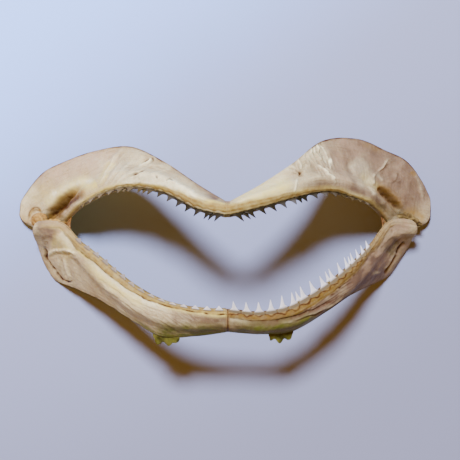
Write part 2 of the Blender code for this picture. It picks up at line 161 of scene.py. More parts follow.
body = {
    "rings": 430, "endRings": 14, "edgeSteps": 14, "faceSteps": 76, "endStart": 0.97, "closeTo": 0.03,
    "symphysisHalf": 0.8, "gumRound": 1.2, "gumSlope": 3.0, "thinnest": 1.1, "barShare": 0.8,
    "crestSpread": 0.5, "shelfEdge": 0.14, "groovePlace": 1.15, "grooveSpread": 0.30, "backShare": 0.6,
    "wander": 0.35, "gumStep": 0.20, "lipStep": 0.16, "lipGroove": 0.12, "gumLayers": 0.06,
    "waves": (0.13, 9.0), "pits": (0.035, 2.2), "rimGroove": (0.12, 1.6, 0.6),
}
toneEdges = {      # where each tone starts and is full: a share of the plate, then mm from the rim
    "dusk": (0.05, 0.45), "under": (1.0, 4.6), "rim": (0.45, 1.25), "olive": (1.8, 4.2),
}


def smoothAlong(values, t):      # smooth value of a list at t, from 0 at its start to 1 at its end
    points = np.asarray(values, float)
    last = len(points) - 1
    place = np.clip(t, 0.0, 1.0) * last
    i = np.minimum(place.astype(int), last - 1)
    u = place - i
    if points.ndim > 1:
        u = u[..., None]
    lined = np.concatenate([[2 * points[0] - points[1]], points, [2 * points[-1] - points[-2]]])
    p0, p1, p2, p3 = (lined[i + k] for k in range(4))
    return 0.5 * (2 * p1 + (p2 - p0) * u + (2 * p0 - 5 * p1 + 4 * p2 - p3) * u ** 2
                  + (3 * p1 - p0 - 3 * p2 + p3) * u ** 3)


def column(values, t):      # the same, as a column with one value for each ring
    return smoothAlong(values, t)[:, None]


def levelAlong(values, t):      # straight-line value of a list at t
    return np.interp(t, np.linspace(0, 1, len(values)), values)


def unit(vectors):
    return vectors / np.linalg.norm(vectors, axis=-1, keepdims=True)


def bump(s, centre, width):
    return np.exp(-((s - centre) / width) ** 2)


def ramp(x, low, high):
    x = np.clip((x - low) / (high - low), 0.0, 1.0)
    return x * x * (3 - 2 * x)


def ripple(points, size, seed, waves=14):      # soft noise, about -1 to 1, with features this big
    draw = np.random.default_rng(seed)
    total = np.zeros(points.shape[:-1])
    for wave in range(waves):
        way = unit(draw.normal(size=points.shape[-1])) * 2 * math.pi / size
        total += np.sin(points @ (way * draw.uniform(0.5, 1.6)) + draw.uniform(0, 6.28))
    return total * 1.4 / math.sqrt(waves)


def creases(points, turn, size, seed):      # sharp little ridges that run at an angle to +X
    c, s = math.cos(math.radians(turn)), math.sin(math.radians(turn))
    across = np.stack([(points[..., 0] * c + points[..., 1] * s) / size[0],
                       (points[..., 1] * c - points[..., 0] * s) / size[1]], axis=-1)
    return 1 - 1.6 * np.abs(ripple(across, 2.0, seed, 9)) ** 0.8


def seen(points):      # where points fall in the picture
    depth = view["height"] - points[..., 2]
    x = view["picture"] / 2 + view["focal"] * (points[..., 0] - view["middle"][0]) / depth
    y = view["picture"] / 2 - view["focal"] * (points[..., 1] - view["middle"][1]) / depth
    return np.stack([x, y], axis=-1)


def placed(half, points):
    out = np.array(points, float)
    out[..., 0] = out[..., 0] * half["side"] + halfShift[0]
    out[..., 1] += halfShift[1]
    return out


def stroke(pixels, line, width, fade=0.25, samples=24):      # a soft mark along a line, from 0 to 1
    path = smoothAlong(line, np.linspace(0, 1, samples)) if len(line) > 2 else np.array(line, float)
    reach = 3 * (max(width) if isinstance(width, tuple) else width) / view["pixel"]
    low, high = path.min(axis=0) - reach, path.max(axis=0) + reach
    mark = np.zeros(pixels.shape[:-1])
    near = np.all((pixels > low) & (pixels < high), axis=-1)
    here = pixels[near]
    nearest, side, share = np.full(len(here), 1e9), np.zeros(len(here)), np.zeros(len(here))
    for k in range(len(path) - 1):
        step = path[k + 1] - path[k]
        part = np.clip(((here - path[k]) @ step) / (step @ step), 0, 1)
        gap = here - (path[k] + part[..., None] * step)
        distance = np.linalg.norm(gap, axis=-1)
        closer = distance < nearest
        nearest = np.where(closer, distance, nearest)
        side = np.where(closer, step[0] * gap[..., 1] - step[1] * gap[..., 0], side)
        share = np.where(closer, (k + part) / (len(path) - 1), share)
    wide = np.where(side > 0, width[1], width[0]) if isinstance(width, tuple) else width
    ends = ramp(share, 0, fade) * ramp(1 - share, 0, fade) if fade else 1.0
    mark[near] = np.exp(-(nearest * view["pixel"] / wide) ** 2) * ends
    return mark


# Folds, wrinkles and cracks: line, width in mm (or on its left and its right), height in mm, and marks;
# the pale marks on ridges are partly painted highlight, the brown and shade marks in troughs partly
# painted shade.
upperLeft["folds"] = [
    ([(44, 212), (54, 203), (65, 193), (76, 186), (92, 180)], (3.0, 1.2), 0.75),
    ([(47, 217), (57, 211), (69, 202), (84, 192)], 1.6, -1.8),
    ([(98, 188), (105, 175), (112, 162), (116.5, 153)], (0.45, 0.3), 0.45, ("pale", 0.6)),
    ([(101, 188), (109, 174), (116, 162), (120, 153)], 0.5, -0.35, ("dusk", 0.25)),
    ([(104, 188), (115, 173), (123, 159)], (0.6, 0.35), 0.25, ("pale", 0.3)),
    ([(106, 188), (118, 173), (127, 158)], 0.35, -0.25, ("brown", 0.12)),
    ([(108, 188), (122, 172), (134, 158)], 0.5, 0.2, ("pale", 0.3)),
    ([(110, 188), (125, 174), (140, 162)], 0.35, -0.25, ("brown", 0.15)),
    ([(112, 188), (130, 176), (152, 166)], (0.7, 0.4), 0.32, ("pale", 0.35)),
    ([(118, 189), (140, 179), (164, 172)], (0.6, 0.4), 0.24),
    ([(129, 177.5), (138, 174), (147, 170)], (0.34, 0.3), -0.45, ("brown", 1.0)),
    ([(131, 179), (139, 176), (148, 172)], 0.45, 0.35, ("pale", 0.6)),
    ([(137, 167), (146, 161.5), (153, 156.5)], (0.4, 0.6), 0.6, ("pale", 0.9)),
    ([(140, 163.5), (145, 160), (149, 157.5)], 0.36, -0.6, ("brown", 0.8)),
    ([(146, 165), (151, 161), (154, 158)], 0.36, -0.5, ("brown", 0.5)),
    ([(151, 155.5), (152, 158.5), (151, 161.5)], 0.4, -0.7, ("brown", 0.9)),
    ([(146, 151), (152, 155), (157, 163)], (0.5, 1.2), 0.3),
    ([(166, 182), (170, 180), (174, 183)], 0.36, -0.5, ("brown", 0.7)),
    ([(167, 184), (171, 182.5), (175, 185)], 0.4, 0.3, ("pale", 0.5)),
    ([(155.5, 178), (158.5, 179)], 0.45, -0.4, ("brown", 0.9)),
    ([(136, 178), (158, 178), (182, 190), (206, 206)], (2.2, 1.4), 0.35),
    ([(150, 168), (172, 172), (196, 186)], (0.5, 0.9), 0.2),
    ([(60, 205), (72, 200), (84, 193), (96, 187)], 1.4, 0.35),
    ([(32, 200), (44, 184), (62, 172)], 2.6, 0.2),
    ([(29, 219), (31, 213), (37, 210), (44, 213)], (0.8, 0.4), 0.45),
    ([(32, 221), (34, 216), (39, 214), (44, 217)], (0.6, 0.4), 0.35),
    ([(76, 166), (90, 162), (104, 163)], 1.6, 0.14),
    ([(62, 178), (76, 173), (92, 172)], 1.2, -0.14),
]
upperRight["folds"] = [
    ([(309.5, 145.5), (312, 149), (311, 154)], (0.6, 0.4), 0.6, ("pale", 1.0)),
    ([(313, 143), (315.5, 147), (315, 153)], (0.6, 0.4), 0.6, ("pale", 1.0)),
    ([(316.5, 142.5), (319.5, 147.5), (319, 152)], (0.6, 0.4), 0.6, ("pale", 1.0)),
    ([(316, 152), (319, 157), (322, 161)], 0.4, 0.5, ("pale", 0.6)),
    ([(319.5, 141), (325, 150), (327, 157), (330, 161), (330, 171)], (0.5, 0.38), 0.95, ("pale", 1.1)),
    ([(322, 153), (325.5, 160), (328, 168)], 0.4, 0.5, ("pale", 0.7)),
    ([(319, 148), (323, 155), (327, 165)], 0.4, -0.9, ("brown", 0.6)),
    ([(313, 148), (314.5, 152), (316, 156)], 0.32, -0.5, ("brown", 0.35)),
    ([(317, 149), (318.5, 153), (321, 157)], 0.32, -0.5, ("brown", 0.35)),
    ([(317, 163), (321, 168.5), (324, 170), (328, 175)], (0.42, 0.34), 0.7, ("pale", 0.95)),
    ([(325.5, 171), (327, 174.5), (331.5, 177), (334, 183)], (0.42, 0.34), 0.7, ("pale", 0.95)),
    ([(331, 178), (333.5, 181), (336, 185)], (0.45, 0.4), 0.5, ("pale", 0.6)),
    ([(323.5, 167), (327.5, 171.5), (332, 176.5)], 0.34, -0.5, ("brown", 0.3)),
    ([(321.5, 140), (327.5, 152), (332, 168)], (0.25, 1.1), -1.0),
    ([(303, 150), (306, 156), (311, 163)], 0.5, 0.4, ("pale", 0.5)),
    ([(297, 157), (300, 163), (301.5, 169)], 0.5, 0.4, ("pale", 0.7)),
    ([(289, 163), (293, 166), (296, 171)], 0.5, 0.3, ("pale", 0.5)),
    ([(305, 152), (308.5, 158), (312.5, 163.5)], 0.34, -0.4, ("brown", 0.25)),
    ([(303, 163), (309, 168), (318, 170)], 1.4, -0.5),
    ([(300.3, 170.5), (300.8, 173.5), (301, 176.5)], 0.55, -1.3, ("brown", 1.0)),
    ([(288, 166), (295, 169), (301, 173)], 0.36, -0.4, ("brown", 0.5)),
    ([(292, 171), (297, 173), (301, 175)], 0.34, -0.3, ("brown", 0.3)),
    ([(298, 177), (296, 186), (293.3, 195)], (0.3, 0.4), 0.4, ("pale", 0.7)),
    ([(308, 170), (320, 178), (334, 187)], 0.8, 0.25),
    ([(389, 159), (384, 165), (382, 168), (377, 172)], (0.3, 0.5), 0.45, ("pale", 0.4)),
    ([(376, 172), (373.5, 178), (373, 186)], (0.6, 1.0), 0.55, ("pale", 0.5)),
    ([(391, 165), (386, 170), (384, 177)], 0.9, -0.4, ("dusk", 0.4)),
    ([(376, 170), (379, 177), (384, 182)], 0.6, 0.3, ("pale", 0.3)),
    ([(368, 180), (371, 188), (376, 197)], (1.4, 0.8), 0.35, ("pale", 0.3)),
    ([(379, 184), (390, 193), (404, 211)], (1.4, 0.8), 0.6),
    ([(377, 187), (388, 197), (400, 211)], 1.2, -1.4),
    ([(372, 192), (376, 199), (386, 207)], 0.8, 0.4),
    ([(350, 158), (352, 172), (361, 184), (371, 191)], (1.0, 1.8), -0.45),
    ([(344, 160), (347, 174), (356, 188)], 1.2, 0.2),
    ([(397, 170), (394, 179), (386, 184)], (0.6, 1.0), 0.35),
    ([(392, 162), (402, 180), (410, 202)], 2.6, 0.3),
    ([(413, 172), (419, 185), (424, 203)], (0.9, 0.5), 0.4, ("pale", 0.15)),
    ([(340, 150), (356, 150), (374, 158)], 1.8, 0.16),
]
lowerLeft["folds"] = [
    ([(45, 253.5), (56, 250.5), (67, 250), (80, 254)], (0.5, 0.9), 0.5, ("pale", 0.75)),
    ([(47, 256.5), (58, 254.5), (68, 254.5), (78, 257)], 0.6, -0.25, ("dusk", 0.2)),
    ([(43.5, 246), (46, 256), (49.5, 264), (56, 273.5)], 0.5, -1.3, ("brown", 1.2)),
    ([(53, 269.5), (60, 278), (66, 282), (73, 281)], 0.42, -0.7, ("brown", 1.2)),
    ([(42, 250), (45, 262), (51, 273), (61, 282)], 0.6, 0.45, ("ochre", 0.35)),
    ([(64, 256), (66, 268), (70, 280)], (0.5, 0.8), 0.45, ("pale", 0.4)),
    ([(58, 258), (60, 268), (65, 278)], 0.6, 0.28, ("pale", 0.25)),
    ([(61, 257), (63, 268), (67, 279)], 0.45, -0.35, ("dusk", 0.15)),
    ([(76, 256), (78, 268), (82, 281)], 1.2, -0.25, ("dusk", 0.2)),
    ([(38, 234), (48, 232), (60, 230)], 3.8, 0.5),
    ([(40, 232), (48, 228), (60, 226)], 1.2, 0.3),
    ([(85, 252), (104, 268), (124, 283), (148, 298), (178, 310)], (0.5, 1.2), 0.35),
    ([(96, 276), (120, 294), (146, 312)], 0.35, -0.2, ("brown", 0.14)),
    ([(104, 288), (128, 306), (150, 322)], 0.35, -0.2, ("brown", 0.14)),
    ([(128, 296), (152, 308), (186, 317)], 0.3, -0.2, ("brown", 0.25)),
]
lowerRight["folds"] = [
    ([(405, 237), (394, 236), (385, 241), (377, 250)], (0.8, 2.2), 0.45),
    ([(400, 241), (393, 247), (386, 256)], 2.2, -0.3, ("olive", 0.5)),
    ([(387, 224), (391, 228), (392, 234)], 0.34, -0.3, ("brown", 0.3)),
    ([(406, 222), (396, 222), (388, 226), (380, 237)], (0.4, 0.6), 0.35, ("pale", 0.4)),
    ([(404.5, 241), (400, 248), (396, 255)], 0.55, -1.5, ("brown", 1.0)),
    ([(397, 253), (391, 263), (384, 275)], 0.42, -1.1, ("brown", 1.0)),
    ([(408, 243), (401, 254), (393, 265), (386, 274)], 0.6, 0.3, ("pale", 0.3), ("ochre", 0.4)),
    ([(396, 250), (390, 260), (382, 272)], (0.8, 0.35), 0.35, ("pale", 0.2)),
    ([(371, 247), (366, 258), (363, 270)], 1.6, -0.25),
    ([(374, 249), (377, 252), (379, 257)], 1.0, 0.35),
    ([(370, 274), (376, 272), (380, 274)], 0.7, 0.3, ("pale", 0.3)),
    ([(366, 246), (350, 262), (332, 281), (310, 297)], (0.8, 1.4), 0.3),
    ([(268, 321), (292, 316), (312, 309), (346, 291)], (0.4, 0.6), -0.5, ("brown", 0.8)),
    ([(290, 321), (314, 314), (346, 299)], (0.36, 0.5), -0.45, ("brown", 0.7)),
    ([(262, 318), (290, 312), (318, 301), (346, 284)], 0.7, 0.25, ("pale", 0.12)),
    ([(276, 324), (300, 318), (330, 305), (352, 292)], 0.5, 0.25, ("pale", 0.15)),
]

# Patches of small creases: line and width of the patch, the way they run in degrees, the length
# and spacing of one crease in mm, and its height; the crest value gives painted highlight on their
# ridges, and the trough value painted shade in their furrows.
upperLeft["creases"] = [
    {"line": [(124, 184), (148, 168), (172, 172)], "width": 5.5, "turn": 28, "size": (9.0, 1.5),
     "height": 0.16, "crest": 0.25, "troughShade": 0.08},
    {"line": [(105, 182), (112, 160), (125, 152)], "width": 4.0, "turn": 60, "size": (12.0, 1.8),
     "height": 0.12, "crest": 0.25, "troughShade": 0.05},
    {"line": [(28, 205), (50, 180), (80, 168)], "width": 6.0, "turn": 40, "size": (9.0, 3.0),
     "height": 0.10},
]
upperRight["creases"] = [
    {"line": [(296, 170), (312, 158), (330, 176)], "width": 4.6, "turn": -64, "size": (3.6, 1.5),
     "height": 0.16,
     "crest": 0.22, "troughShade": 0.18},
    {"line": [(352, 182), (380, 170), (404, 176)], "width": 5.0, "turn": 50, "size": (8.0, 2.6),
     "height": 0.08, "crest": 0.05, "troughShade": 0.0},
    {"line": [(300, 186), (320, 182), (345, 186)], "width": 3.0, "turn": 4, "size": (9.0, 1.3),
     "height": 0.08},
]
lowerLeft["creases"] = [
    {"line": [(46, 240), (60, 262), (78, 274)], "width": 5.0, "turn": 84, "size": (8.0, 1.6),
     "height": 0.14},
    {"line": [(96, 284), (130, 304), (160, 318), (200, 322)], "width": 4.5, "turn": -32,
     "size": (10.0, 1.0), "height": 0.08, "crest": 0.12, "troughShade": 0.05},
]
lowerRight["creases"] = [
    {"line": [(400, 234), (384, 254), (370, 268)], "width": 4.5, "turn": 52, "size": (9.0, 1.6),
     "height": 0.06},
    {"line": [(300, 310), (330, 296), (352, 280)], "width": 4.0, "turn": 32, "size": (14.0, 1.1),
     "height": 0.14, "crest": 0.08, "troughShade": 0.12},
]

# Stains, tints, painted shade and painted highlights, as soft strokes: mask, line, width and strength.
upperLeft["paint"] = [
    ("pale", [(46, 205), (56, 195), (70, 187), (94, 179)], 1.7, 0.45),
    ("pale", [(53, 194), (58, 191.5)], 1.0, 0.8),
    ("pale", [(74, 186), (84, 182), (95, 179)], 1.2, 0.6),
    ("pale", [(112, 184), (140, 180), (176, 188), (210, 207)], 2.6, 0.85),
    ("yellow", [(118, 190), (136, 184), (160, 189), (190, 203)], 1.3, 1.0),
    ("yellow", [(44, 207), (58, 196), (76, 186), (98, 180)], 2.6, 1.0),
    ("yellow", [(84, 188), (92, 186), (98, 183)], 1.6, 0.9),
    ("yellow", [(98, 187), (106, 172), (113, 160)], 1.4, 0.6),
    ("yellow", [(28, 200), (40, 192), (54, 196)], 4.0, 0.35),
    # the groove's ochre and brown are partly its own colour and partly painted shade in its hollow
    ("ochre", [(90, 190), (75, 196), (64, 204), (45, 219)], 2.0, 1.0),
    ("ochre", [(44, 219), (54, 216), (64, 210)], 2.6, 1.0),
    ("brown", [(45, 219), (57, 211), (70, 202), (82, 193)], 1.2, 0.9),
    ("brown", [(43, 220), (53, 216), (66, 209)], 2.0, 0.6),
    ("ochre", [(20, 214), (26, 220), (32, 222)], 1.6, 0.5),
    ("ochre", [(29, 220), (31, 213), (37, 209), (44, 213)], 0.8, 0.8),
    ("brown", [(28, 222), (30, 213), (37, 208), (45, 213)], 0.32, 0.7),
    ("pink", [(30, 195), (50, 172), (90, 160), (125, 158)], 6.5, 0.7),
    ("pink", [(60, 216), (68, 209), (76, 203)], 1.6, 0.4),
    ("dusk", [(192, 176), (208, 188), (222, 203)], 4.2, 0.9),
    ("dusk", [(116, 152), (124, 164), (134, 174)], 2.4, 0.22),
    ("dusk", [(140, 152), (160, 164), (190, 178)], 1.6, 0.3),
    ("pale", [(22, 206), (28, 196), (36, 186)], 2.5, 0.4),
]
upperRight["paint"] = [
    ("dusk", [(314, 139), (336, 148), (362, 156), (396, 178)], 6.5, 0.62),
    ("dusk", [(296, 187), (330, 187), (362, 192), (396, 212)], 2.8, 0.8),
    ("dusk", [(306, 158), (312, 166), (322, 172)], 2.2, 0.6),
    ("dusk", [(344, 152), (348, 172), (358, 188)], 2.2, 0.5),
    ("dusk", [(306, 186), (322, 189), (340, 190)], 2.0, 0.5),
    ("olive", [(376, 203), (388, 210), (404, 216)], 1.8, 0.35),
    ("brown", [(366, 198), (384, 208), (406, 217)], 1.8, 0.35),
    ("pink", [(318, 142), (366, 158), (404, 178), (424, 220)], 12.0, 1.0),
    ("pale", [(232, 206), (262, 190), (292, 170)], 4.0, 0.3),
    ("pale", [(262, 181), (280, 170), (296, 163)], 1.8, 0.5),
    ("pale", [(304, 156), (316, 152), (326, 160)], 2.6, 0.3),
    ("pale", [(352, 158), (362, 170), (372, 186)], 3.4, 0.3),
    ("ochre", [(296, 192), (322, 190), (350, 194)], 1.3, 0.7),
    # the groove's ochre and brown are partly its own colour and partly painted shade in its hollow
    ("ochre", [(375, 186), (388, 194), (403, 211)], 2.2, 0.8),
    ("brown", [(379, 190), (388, 198), (400, 211)], 1.2, 0.75),
    ("ochre", [(400, 214), (414, 213), (428, 220)], 2.0, 0.7),
    ("ochre", [(411, 171), (415, 176)], 0.9, 0.7),
    ("ochre", [(358, 143), (372, 147), (386, 152)], 1.2, 0.3),
    ("yellow", [(232, 208), (262, 193), (296, 183)], 3.4, 0.9),
    ("yellow", [(360, 172), (370, 182), (380, 192)], 1.8, 0.4),
]
lowerLeft["paint"] = [
    ("dusk", [(34, 224), (48, 230), (60, 234)], 4.4, 0.72),
    ("dusk", [(42, 236), (46, 242), (46, 250)], 1.8, 0.5),
    ("pink", [(40, 228), (52, 232), (60, 238)], 4.0, 0.8),
    ("pale", [(60, 231), (66, 238), (76, 250)], 1.6, 0.5),
    ("dusk", [(86, 262), (90, 272), (96, 284)], 1.4, 0.25),
    ("pale", [(84, 256), (112, 278), (140, 297), (172, 309)], (1.2, 1.5), 0.75),
    ("yellow", [(84, 258), (104, 275), (126, 291), (156, 306)], 2.4, 0.8),
    ("dusk", [(166, 317), (186, 319), (212, 318), (240, 316)], 3.8, 0.9),
    ("pink", [(34, 224), (48, 219), (60, 222), (70, 234)], 2.6, 1.0),
    ("dusk", [(34, 224), (48, 219), (60, 222), (70, 234)], 2.4, 0.3),
    ("brown", [(88, 255.5), (120, 280), (143, 296), (172, 307)], 0.4, 0.8),
    ("yellow", [(50, 240), (62, 244), (76, 258)], 3.0, 0.5),
    ("olive", [(150, 330), (170, 331), (196, 330), (232, 328)], 2.8, 0.8),
]
lowerRight["paint"] = [
    ("dusk", [(228, 322), (272, 320), (318, 306), (352, 282), (372, 258)], 5.0, 1.0),
    ("dusk", [(344, 280), (362, 268), (380, 250), (402, 241)], 7.0, 0.45),
    ("dusk", [(350, 282), (362, 271), (371, 262), (378, 252)], 2.2, 0.85),
    ("pink", [(370, 242), (380, 224), (394, 214), (408, 215), (416, 226)], 3.0, 1.0),
    ("dusk", [(370, 242), (380, 224), (394, 214), (408, 215), (416, 226)], 2.4, 0.4),
    ("pink", [(410, 236), (384, 262), (346, 290)], 9.0, 1.0),
    ("pink", [(240, 320), (280, 316), (330, 298)], 2.0, 0.6),
    ("brown", [(401, 238), (393, 246), (388, 252)], 1.2, 0.45),
    ("ochre", [(372, 236), (364, 248), (354, 262)], 1.2, 0.5),
    ("dusk", [(416, 224), (398, 226), (380, 238)], 3.5, 0.25),
    ("pink", [(412, 222), (398, 226), (386, 234)], 4.5, 1.0),
    ("olive", [(228, 330), (262, 329), (296, 324), (322, 314)], 2.2, 0.9),
    ("olive", [(222, 323), (250, 323), (276, 321), (300, 316)], 3.0, 0.35),
]
# Along each half from the symphysis to the joint: brown on the rim, olive beside it, painted shade over
# the face, and more painted shade towards the rim.
upperLeft["rimTone"], upperLeft["oliveTone"] = (0.4, 0.6, 0.8, 0.9, 0.9, 0.9, 1.0, 1.0, 0.8), (0.0, 0.0)
upperLeft["duskTone"] = (0.6, 0.35, 0.12, 0.0, 0.0, 0.0, 0.0, 0.0, 0.0)
upperLeft["underTone"] = (0.5, 0.5, 0.4, 0.2, 0.1, 0.1, 0.1, 0.1, 0.0)
upperRight["rimTone"], upperRight["oliveTone"] = (0.3, 0.2, 0.3, 0.9, 1.0, 1.0, 1.0, 1.0, 0.8), (0.0, 0.0)
upperRight["duskTone"] = (0.2, 0.1, 0.1, 0.45, 0.7, 0.7, 0.66, 0.6, 0.5)
upperRight["underTone"] = (0.3, 0.2, 0.2, 0.3, 0.3, 0.3, 0.3, 0.3, 0.2)
lowerLeft["rimTone"] = (0.3, 0.3, 0.4, 0.8, 1.0, 0.9, 1.0, 0.8, 0.3)
lowerLeft["oliveTone"] = (0.9, 1.0, 0.9, 0.25, 0.0, 0.0, 0.0, 0.0, 0.0)
lowerLeft["duskTone"] = (0.8, 0.75, 0.5, 0.2, 0.05, 0.1, 0.1, 0.15, 0.3)
lowerLeft["underTone"] = (0.0, 0.0, 0.0, 0.1, 0.2, 0.25, 0.2, 0.2, 0.1)
lowerRight["rimTone"] = (0.3, 0.3, 0.4, 0.7, 0.8, 0.8, 1.0, 0.9, 0.3)
lowerRight["oliveTone"] = (0.9, 1.0, 1.0, 0.7, 0.2, 0.0, 0.0, 0.0, 0.0)
lowerRight["duskTone"] = (0.9, 0.94, 0.97, 0.97, 0.95, 0.88, 0.66, 0.52, 0.42)
lowerRight["underTone"] = (0.9, 0.95, 1.0, 1.0, 0.95, 0.8, 0.4, 0.3, 0.1)
masks = ("pale", "yellow", "ochre", "brown", "olive", "pink", "dusk", "rootShade")


def archFrames(half, t):      # gum point, way to the rim, labial normal and height of the plate
    gum, rim = smoothAlong(half["gum"], t), smoothAlong(half["rim"], t)
    ahead, behind = np.minimum(t + 0.01, 1.0), np.maximum(t - 0.01, 0.0)
    middle = [smoothAlong(half["gum"], k) + smoothAlong(half["rim"], k) for k in (behind, ahead)]
    height = np.linalg.norm(rim - gum, axis=-1)
    down = (rim - gum) / height[:, None]
    normal = unit(np.cross(unit(middle[1] - middle[0]), down))
    normal *= np.where(normal[:, 2:] < 0, -1.0, 1.0)
    return gum, down, normal, height


def gumLength(half):      # t and the length along the gum at 400 places
    steps = np.linspace(0.0, 1.0, 400)
    line = smoothAlong(half["gum"], steps)
    return steps, np.concatenate([[0.0], np.cumsum(np.linalg.norm(np.diff(line, axis=0), axis=1))])


def toothPlaces(half):      # t, spacing and share of the row for each tooth
    steps, length = gumLength(half)
    share = np.linspace(0.0, 1.0, half["teeth"])
    wanted = smoothAlong(half["toothPlaces"], share)
    return np.interp(wanted, length, steps), np.gradient(wanted), share


def lay(paint, mask, values):      # a stain goes on top of what is there, and never thins it
    paint[mask] = np.maximum(paint[mask], values)


def dryGum(half, t, reach, world, paint):      # colours the gum along the teeth, with painted shade over the band and along the teeth's roots, and gives its relief
    number = np.interp(t, toothPlaces(half)[0], np.arange(half["teeth"]))[:, None]
    seed = half["seed"]
    band = column(half["gumBand"], t) * (1 + 0.05 * ripple(world, 9.0, seed))
    lip = column(half["lip"], t) * (1 + half["scallop"] * np.cos(2 * math.pi * number))
    lip = lip + 0.08 * ripple(world, 2.6, seed + 1)
    tone = levelAlong(half["gumTone"], t)[:, None]
    inBand = 1 - ramp(reach, 0.75 * band, band + 0.35)
    inLip = 1 - ramp(reach, lip - 0.14, lip + 0.14)
    lipLine = half["lipLine"] * bump(reach, lip + 0.2, 0.36)
    broken = 0.5 + 0.5 * ripple(world, 3.0, seed + 2)
    layers = 0.5 + 0.5 * np.sin(reach * 5.2 + 0.55 * ripple(world, 14.0, seed + 3))
    golden = np.maximum(bump(reach, band, 0.9) * half["bandGlow"], inBand * half["golden"])
    deep = (1 - 0.45 * half["golden"]) * (1 - 0.85 * half["lipTone"] * inLip) * (0.74 + 0.26 * layers)
    lay(paint, "yellow", tone * golden)
    lay(paint, "ochre", tone * inBand * deep)
    bandLine = half["bandLine"] * bump(reach, band, 0.34) * (0.4 + 0.6 * broken)
    # painted shade over the gum band
    shaded = half["gumPaintedShade"] * inBand * (0.85 + 0.15 * layers) * (1 - half["lipTone"] * inLip)
    for mask, share in (("brown", 1.0), ("pale", 1.0), ("pink", 0.6), ("dusk", 0.6), ("olive", 0.6)):
        paint[mask] = paint[mask] * (1 - share * inBand * tone)      # the gum hides most of these
    lay(paint, "brown", tone * np.maximum(np.maximum(lipLine, bandLine), shaded))
    # the gum's pale inner strip, partly painted highlight
    lay(paint, "pale", tone * half["lipTone"] * inLip * (0.6 + 0.4 * broken))
    # painted shade along the teeth's roots
    paint["rootShade"] = levelAlong(half["root"], t)[:, None] * (1 - ramp(reach, 0.5, 0.95 + 0.3 * broken))
    # olive over the gum band, partly its own colour and partly painted shade
    lay(paint, "olive", tone * inBand * half["gumOliveAndShade"])
    raised = body["gumStep"] * inBand + body["lipStep"] * inLip
    return tone * (raised - body["lipGroove"] * lipLine + body["gumLayers"] * layers * inBand)


def weatherAndShade(half, t, s, height, plain):      # what drying and dirt add, with painted shade and painted highlights: relief in mm, and the masks
    world = placed(half, plain)
    reach = np.cumsum(np.linalg.norm(np.diff(plain, axis=1, prepend=plain[:, :1]), axis=-1), axis=1)
    drift = np.stack([ripple(world, 7.0, half["seed"] + 5), ripple(world, 7.0, half["seed"] + 6)], axis=-1)
    pixels = seen(world) + body["wander"] * drift
    relief = np.zeros(s.shape)
    for seed, (rise, size) in enumerate((body["waves"], body["pits"]), 3):
        relief += rise * ripple(world, size, seed)
    toRim, fromRim = s / height[:, None], height[:, None] - s
    roll = bump(toRim, 0.28, 0.22) - 1.1 * ramp(toRim, 0.42, 1.05)      # high near the gum, low at the rim
    relief += column(half["roll"], t) * roll
    paint = {mask: np.zeros(s.shape) for mask in masks}
    uneven = 0.85 + 0.2 * ripple(world, 2.4, half["seed"] + 4)
    for line, width, rise, *foldMarks in half["folds"]:
        mark = stroke(pixels, line, width, 0.2)
        relief += rise * mark
        for mask, strength in foldMarks:
            lay(paint, mask, strength * mark * uneven)
    for patch in half["creases"]:
        amount = stroke(pixels, patch["line"], patch["width"], 0.1)
        crease = creases(world, patch["turn"], patch["size"], half["seed"] + 7)
        relief += patch["height"] * amount * crease
        # painted highlight on the crease crests, painted shade in the furrows
        for mask, key, way in (("pale", "crest", 1), ("brown", "troughShade", -1)):
            lay(paint, mask, patch.get(key, 0.0) * amount * ramp(crease * way, 0.1, 0.8))
    for mask, line, width, strength in half["paint"]:
        lay(paint, mask, strength * stroke(pixels, line, width, 0.2))
    # painted shade over the face, and more of it towards the rim
    lay(paint, "dusk", column(half["duskTone"], t) * ramp(toRim, *toneEdges["dusk"]))
    lay(paint, "dusk", column(half["underTone"], t) * (1 - ramp(fromRim, *toneEdges["under"])))
    rimNoise = 0.85 + 0.25 * ripple(world, 6.0, half["seed"] + 8)
    lay(paint, "brown", column(half["rimTone"], t) * rimNoise * (1 - ramp(fromRim, *toneEdges["rim"])))
    oliveTone = levelAlong(half["oliveTone"], t)[:, None]
    lay(paint, "olive", oliveTone * (1 - ramp(fromRim, *toneEdges["olive"])))
    relief += dryGum(half, t, reach, world, paint)
    depth, place, width = body["rimGroove"]
    relief -= depth * bump(fromRim, place, width) * column(half["rimTone"], t)
    relief *= ramp(s, 0.0, 0.7) * ramp(fromRim, 0.0, 0.6)
    return relief, paint


